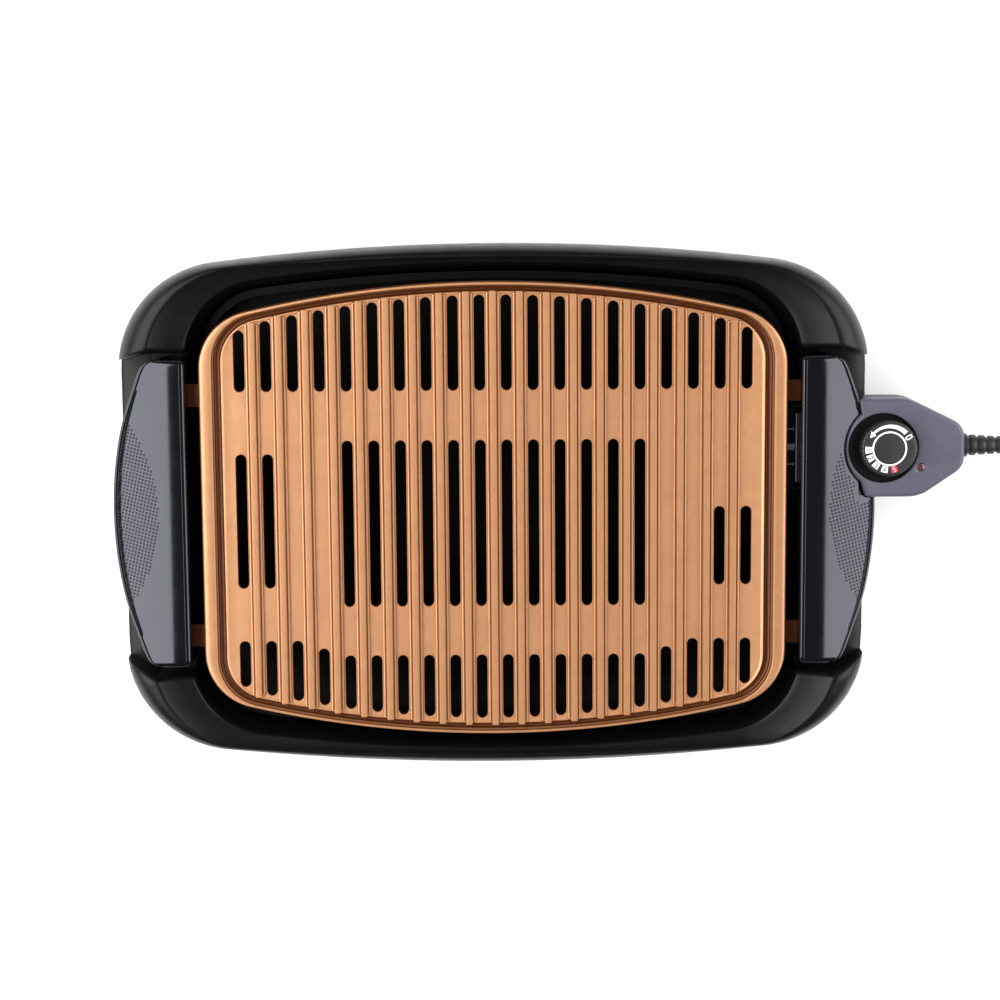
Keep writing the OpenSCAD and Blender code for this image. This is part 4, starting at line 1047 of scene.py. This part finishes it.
def digit(bm, what, r, deg, size, stroke, z0, z1):
    """A digit whose top faces the dial's middle, drawn as one stroke of even width."""
    a = math.radians(deg)
    up_v, side_v = np.array((-math.cos(a), -math.sin(a))), np.array((-math.sin(a), math.cos(a)))
    c = np.array(polar(r, deg, 0)[:2])
    for line in DIGITS[what]:
        pts = [c + side_v * x * size + up_v * y * size for x, y in line]
        shut = np.allclose(pts[0], pts[-1])
        left, right_side = [], []
        for i, p in enumerate(pts):
            b = pts[i - 1] if i else (pts[-2] if shut else pts[0])
            f = pts[i + 1] if i + 1 < len(pts) else (pts[1] if shut else pts[-1])
            d0, d1 = p - b, f - p
            d0 = d0 / np.linalg.norm(d0) if np.linalg.norm(d0) > 1e-9 else d1 / np.linalg.norm(d1)
            d1 = d1 / np.linalg.norm(d1) if np.linalg.norm(d1) > 1e-9 else d0
            t = d0 + d1
            t = t / np.linalg.norm(t)
            nrm = np.array((-t[1], t[0])) * stroke / 2 / max(0.5, abs(t @ d0))
            left.append(p + nrm)
            right_side.append(p - nrm)
        for i in range(len(pts) - 1):
            quad = [left[i], left[i + 1], right_side[i + 1], right_side[i]]
            film(bm, [tuple(q) for q in quad], z0, z1)


TOP_Z = 72.0
bm = bmesh.new()
band(bm, 8.85, 9.75, TOP_Z - 0.02, TOP_Z + 0.03)
for k, deg in enumerate((183, 206, 231, 257)):
    box_pts = [polar(r, deg + s, 0)[:2] for r,
               s in ((10.2, -8.6), (10.2, 8.6), (13.7, 8.3), (13.7, 2.8), (13.7, -2.8), (13.7, -8.3))]
    film(bm, box_pts, TOP_Z - 0.02, TOP_Z + 0.03)
# the arrow: a band that thickens towards its blunt end, with a head
for i in range(24):
    t0, t1 = i / 24, (i + 1) / 24
    w0, w1 = 0.55 + 0.75 * t0, 0.55 + 0.75 * t1
    q = [polar(12.6 - w0, 136 - 92 * t0, 0)[:2], polar(12.6 - w1, 136 - 92 * t1, 0)[:2],
         polar(12.6 + w1, 136 - 92 * t1, 0)[:2], polar(12.6 + w0, 136 - 92 * t0, 0)[:2]]
    film(bm, q, TOP_Z - 0.02, TOP_Z + 0.03)
film(bm, [polar(10.7, 136, 0)[:2], polar(12.6, 151, 0)[:2], polar(14.4, 136, 0)[:2]], TOP_Z - 0.02,
     TOP_Z + 0.03)
digit(bm, "0", 12.4, 31, 0.85, 0.6, TOP_Z - 0.02, TOP_Z + 0.03)
finish_mesh(bm, "dial_print_white", "dial", MATS["print_white"], [], 30)
bm = bmesh.new()
film(bm, [polar(r, 283 + s, 0)[:2] for r, s in ((10.2, -8.6), (10.2, 8.6), (13.7, 8.3), (13.7, 2.8),
                                                (13.7, -2.8), (13.7, -8.3))],
     TOP_Z - 0.02, TOP_Z + 0.03)
finish_mesh(bm, "dial_print_red", "dial", MATS["print_red"], [], 30)
bm = bmesh.new()
for what, deg in (("1", 183), ("2", 206), ("3", 231), ("4", 257)):
    digit(bm, what, 11.95, deg, 0.68, 0.5, TOP_Z, TOP_Z + 0.06)
finish_mesh(bm, "dial_print_black", "dial", MATS["print_black"], [], 30)
bm = bmesh.new()
digit(bm, "5", 11.95, 283, 0.68, 0.5, TOP_Z, TOP_Z + 0.06)
finish_mesh(bm, "dial_print_pink", "dial", MATS["print_pink"], [], 30)


# ---- Strain relief, tie and plug ----
x0 = TAIL_X - 6
profile = [(3.5, 0), (4.45, 0), (4.55, 0.15), (4.55, 6.1), (6.4, 6.3), (6.68, 6.6), (6.68, 8.6), (6.4, 8.95),
           (5.0, 9.1)]
for k in range(5):
    z, r = 9 + 5.2 * k, 5.9 - 0.3 * k
    profile += [(r - 0.9, z + 0.45), (r - 0.9, z + 1.25), (r - 0.35, z + 1.55), (r - 0.05, z + 1.9),
                (r, z + 2.4), (r, z + 4.3), (r - 0.15, z + 4.75),
                (r - 0.5, z + 5.0)]
profile += [(3.95, 36.6), (3.9, 37.6), (3.75, 37.95), (3.5, 38)]
revolve("cord_sleeve", profile, 48, lambda a, b, c: (x0 + c, CTRL_Y + a, PROBE_Z + b), "control",
        MATS["cord_vinyl"],
        ["strain_relief"])

# The tie closes round the coil's three turns, with a small buckle
W, N, H = 42 + CORD_D / 2, 28 - CORD_D / 2, CORD_D + 1.6
bm = bmesh.new()
outer, inner = [], []
y_out, y_in = COIL_Y - W - 0.75, COIL_Y - N + 0.75
for (cy, cz, a0), r in zip(((y_in - 2.2, H - 2.2, 0), (y_out + 2.2, H - 2.2, 90), (y_out + 2.2, 2.2, 180),
                            (y_in - 2.2, 2.2, 270)), (2.2,) * 4):
    for k in range(9):
        a = math.radians(a0 + 90 * k / 8)
        outer.append((cy + r * math.cos(a), cz + r * math.sin(a)))
        inner.append((cy + (r - 0.75) * math.cos(a), cz + (r - 0.75) * math.sin(a)))
half = 4.4
rings = []
for ring_pts, s in ((outer, -half), (outer, half), (inner, half), (inner, -half)):
    rings.append([(COIL_X + s, y, z) for y, z in ring_pts])
rings_mesh(bm, rings, joined=True)
add_block(bm, (COIL_X - 4.5, COIL_Y - 36, H - 0.72), (COIL_X + 4.5, COIL_Y - 30, H), 0.3, 2)
finish_mesh(bm, "coil_tie", "control", MATS["tie_plastic"], ["cord_tie"], 35)

# Plug: a tapered neck into a waisted body with grip ribs
p_lo, p_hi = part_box("plug_body")
PLX = (p_lo.x + p_hi.x) / 2 / MM - OX
PLZ = (p_lo.z + p_hi.z) / 2 / MM
Y1, Y0 = p_hi.y / MM, p_lo.y / MM


def plug_ring(y, w, h, r, n=8):
    pts = []
    for sx, sz, a0 in ((1, 1, 0), (-1, 1, 90), (-1, -1, 180), (1, -1, 270)):
        for k in range(n + 1):
            a = math.radians(a0 + 90 * k / n)
            pts.append((PLX + sx * (w / 2 - r) + r * math.cos(a), y,
                        PLZ + sz * (h / 2 - r) + r * math.sin(a)))
    return pts


bm = bmesh.new()
rings = [plug_ring(Y1, 8.0, 8.0, 3.99), plug_ring(Y1 - 0.4, 9.0, 9.0, 4.49),
         plug_ring(Y1 - 1.2, 9.2, 9.2, 4.59)]
for k in range(5):
    y = Y1 - 2.2 - 3.3 * k
    d = 9.3 + 0.62 * k
    rings += [plug_ring(y, d, d, d / 2 - 0.01), plug_ring(y - 1.7, d + 0.2, d + 0.2, d / 2 + 0.09),
              plug_ring(y - 1.9, d - 1.2, d - 1.2, d / 2 - 0.61),
              plug_ring(y - 2.8, d - 1.1, d - 1.1, d / 2 - 0.56)]
y = Y1 - 18.6
rings += [plug_ring(y, 12.2, 11.6, 5.2), plug_ring(y - 1.4, 14.5, 12.6, 5),
          plug_ring(y - 3.6, 18.5, 13.3, 4.6),
          plug_ring(y - 6.2, 21.6, 13.8, 4.2), plug_ring(y - 9, 23.0, 14, 4)]
for k in range(4):
    q = y - 10.5 - 2.6 * k
    rings += [plug_ring(q, 23.3, 14, 4), plug_ring(q - 0.35, 22.3, 13.3, 3.8),
              plug_ring(q - 1.05, 22.3, 13.3, 3.8), plug_ring(q - 1.4, 23.4, 14, 4)]
rings += [plug_ring(Y0 + 4, 23.9, 14, 3.6), plug_ring(Y0 + 1.2, 24, 14, 3.4),
          plug_ring(Y0 + 0.5, 23.7, 13.7, 3.3),
          plug_ring(Y0 + 0.12, 23.0, 13.0, 3.1), plug_ring(Y0, 22.0, 12.0, 2.8)]
rings_mesh(bm, rings)
finish_mesh(bm, "plug_grip", "control", MATS["cord_vinyl"], ["plug_body"], 40)
for i, (s, half) in enumerate(((-1, 3.15), (1, 3.95)), 1):
    x = PLX + s * 6.35
    z = PLZ
    blade = bmesh.new()
    rings = []
    ys = [(Y0 + 6, 0), (Y0 - 14.6, 0), (Y0 - 15.8, 0.25), (Y0 - 16.6, 0.8), (Y0 - 17, 1.5)]
    for y, d in ys:
        t = 0.75 - 0.35 * d / 1.5
        c = 0.12
        rings.append([(x - t + c, y, z - half + d), (x + t - c, y, z - half + d),
                      (x + t, y, z - half + d + c), (x + t, y, z + half - d - c),
                      (x + t - c, y, z + half - d), (x - t + c, y, z + half - d),
                      (x - t, y, z + half - d - c), (x - t, y, z - half + d + c)])
    rings_mesh(blade, rings)
    blade_obj = make_object(blade, "blade")
    hole = bmesh.new()
    rod(hole, Y0 - 11.7, z, x - 3, x + 3, 1.6, 24)
    carve(blade_obj, make_object(hole, "hole"), "DIFFERENCE")
    closed(blade_obj, f"plug_prong_{i}", "control", "pin_nickel", [f"plug_blade_{i}"], 30)


# ---- Foot pads ----
def row_box(node):
    """A node's box in mm from the griddle's middle."""
    a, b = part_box(node)
    return [a.x / MM - OX, a.y / MM, a.z / MM], [b.x / MM - OX, b.y / MM, b.z / MM]


for i in range(1, 5):
    a, b = row_box(f"rubber_foot_{i}")
    cx, cy, z0, z1, r = (a[0] + b[0]) / 2, (a[1] + b[1]) / 2, a[2], b[2], (b[0] - a[0]) / 2
    revolve(f"foot_pad_{i}", [(4.2, z0 + 2.4), (4.2, z0 + 0.35), (4.6, z0 + 0.05), (5.2, z0), (6.6, z0),
                              (6.75, z0 + 0.25), (7.0, z0 + 0.25),
                              (7.15, z0), (r - 1.2, z0), (r - 0.5, z0 + 0.2), (r - 0.1, z0 + 0.7),
                              (r, z0 + 1.4), (r, z1 - 0.5),
                              (r - 0.3, z1 - 0.08), (r - 0.6, z1), (1.9, z1), (1.9, z0 + 2.4)], 64,
            lambda p, q, h, cx=cx, cy=cy: (cx + p, cy + q, h), "base", MATS["foot_rubber"],
            [f"rubber_foot_{i}"])
# ---- Floor and light ----
bm = bmesh.new()
bmesh.ops.create_grid(bm, x_segments=2, y_segments=2, size=4)
floor_mesh = bpy.data.meshes.new("floor")
bm.to_mesh(floor_mesh)
bm.free()
floor = bpy.data.objects.new("floor", floor_mesh)
bpy.context.scene.collection.objects.link(floor)
floor_mesh.materials.append(shader("floor_paper", (0.93, 0.93, 0.93), 0.9, vary=0.005, scale=50))


def light(name, where, to, size, power, size_y=None):
    d = bpy.data.lights.new(name, "AREA")
    d.energy = power
    d.size = size
    if size_y:
        d.shape = "RECTANGLE"
        d.size_y = size_y
    o = bpy.data.objects.new(name, d)
    o.location = where
    o.rotation_euler = (Vector(to) - Vector(where)).to_track_quat("-Z", "Y").to_euler()
    bpy.context.scene.collection.objects.link(o)
    return o


def panel(name, angle, turn, far, size, radiance):
    """A soft box whose middle leans angle degrees from overhead, towards turn degrees about the vertical."""
    a, b = math.radians(angle), math.radians(turn)
    mid = Vector(at(0, 0, 50))
    where = mid + far * Vector((math.sin(a) * math.cos(b), math.sin(a) * math.sin(b), math.cos(a)))
    light(name, where, mid, size[0], radiance * math.pi * size[0] * size[1], size[1])


panel("key_left", 47, 172, 1.4, (1.9, 1.3), 5.2)
panel("fill_right", 59, 6, 1.4, (1.5, 1.2), 4.6)
# an even wash for the floor, kept out of the glossy reflections
wash = light("wash", (0, 0, 2.2), (0, 0, 0), 2.5, 34)
wash.visible_glossy = False
world = bpy.data.worlds.new("studio")
world.use_nodes = True
world.node_tree.nodes["Background"].inputs["Color"].default_value = (1, 1, 1, 1)
world.node_tree.nodes["Background"].inputs["Strength"].default_value = 0.08
bpy.context.scene.world = world
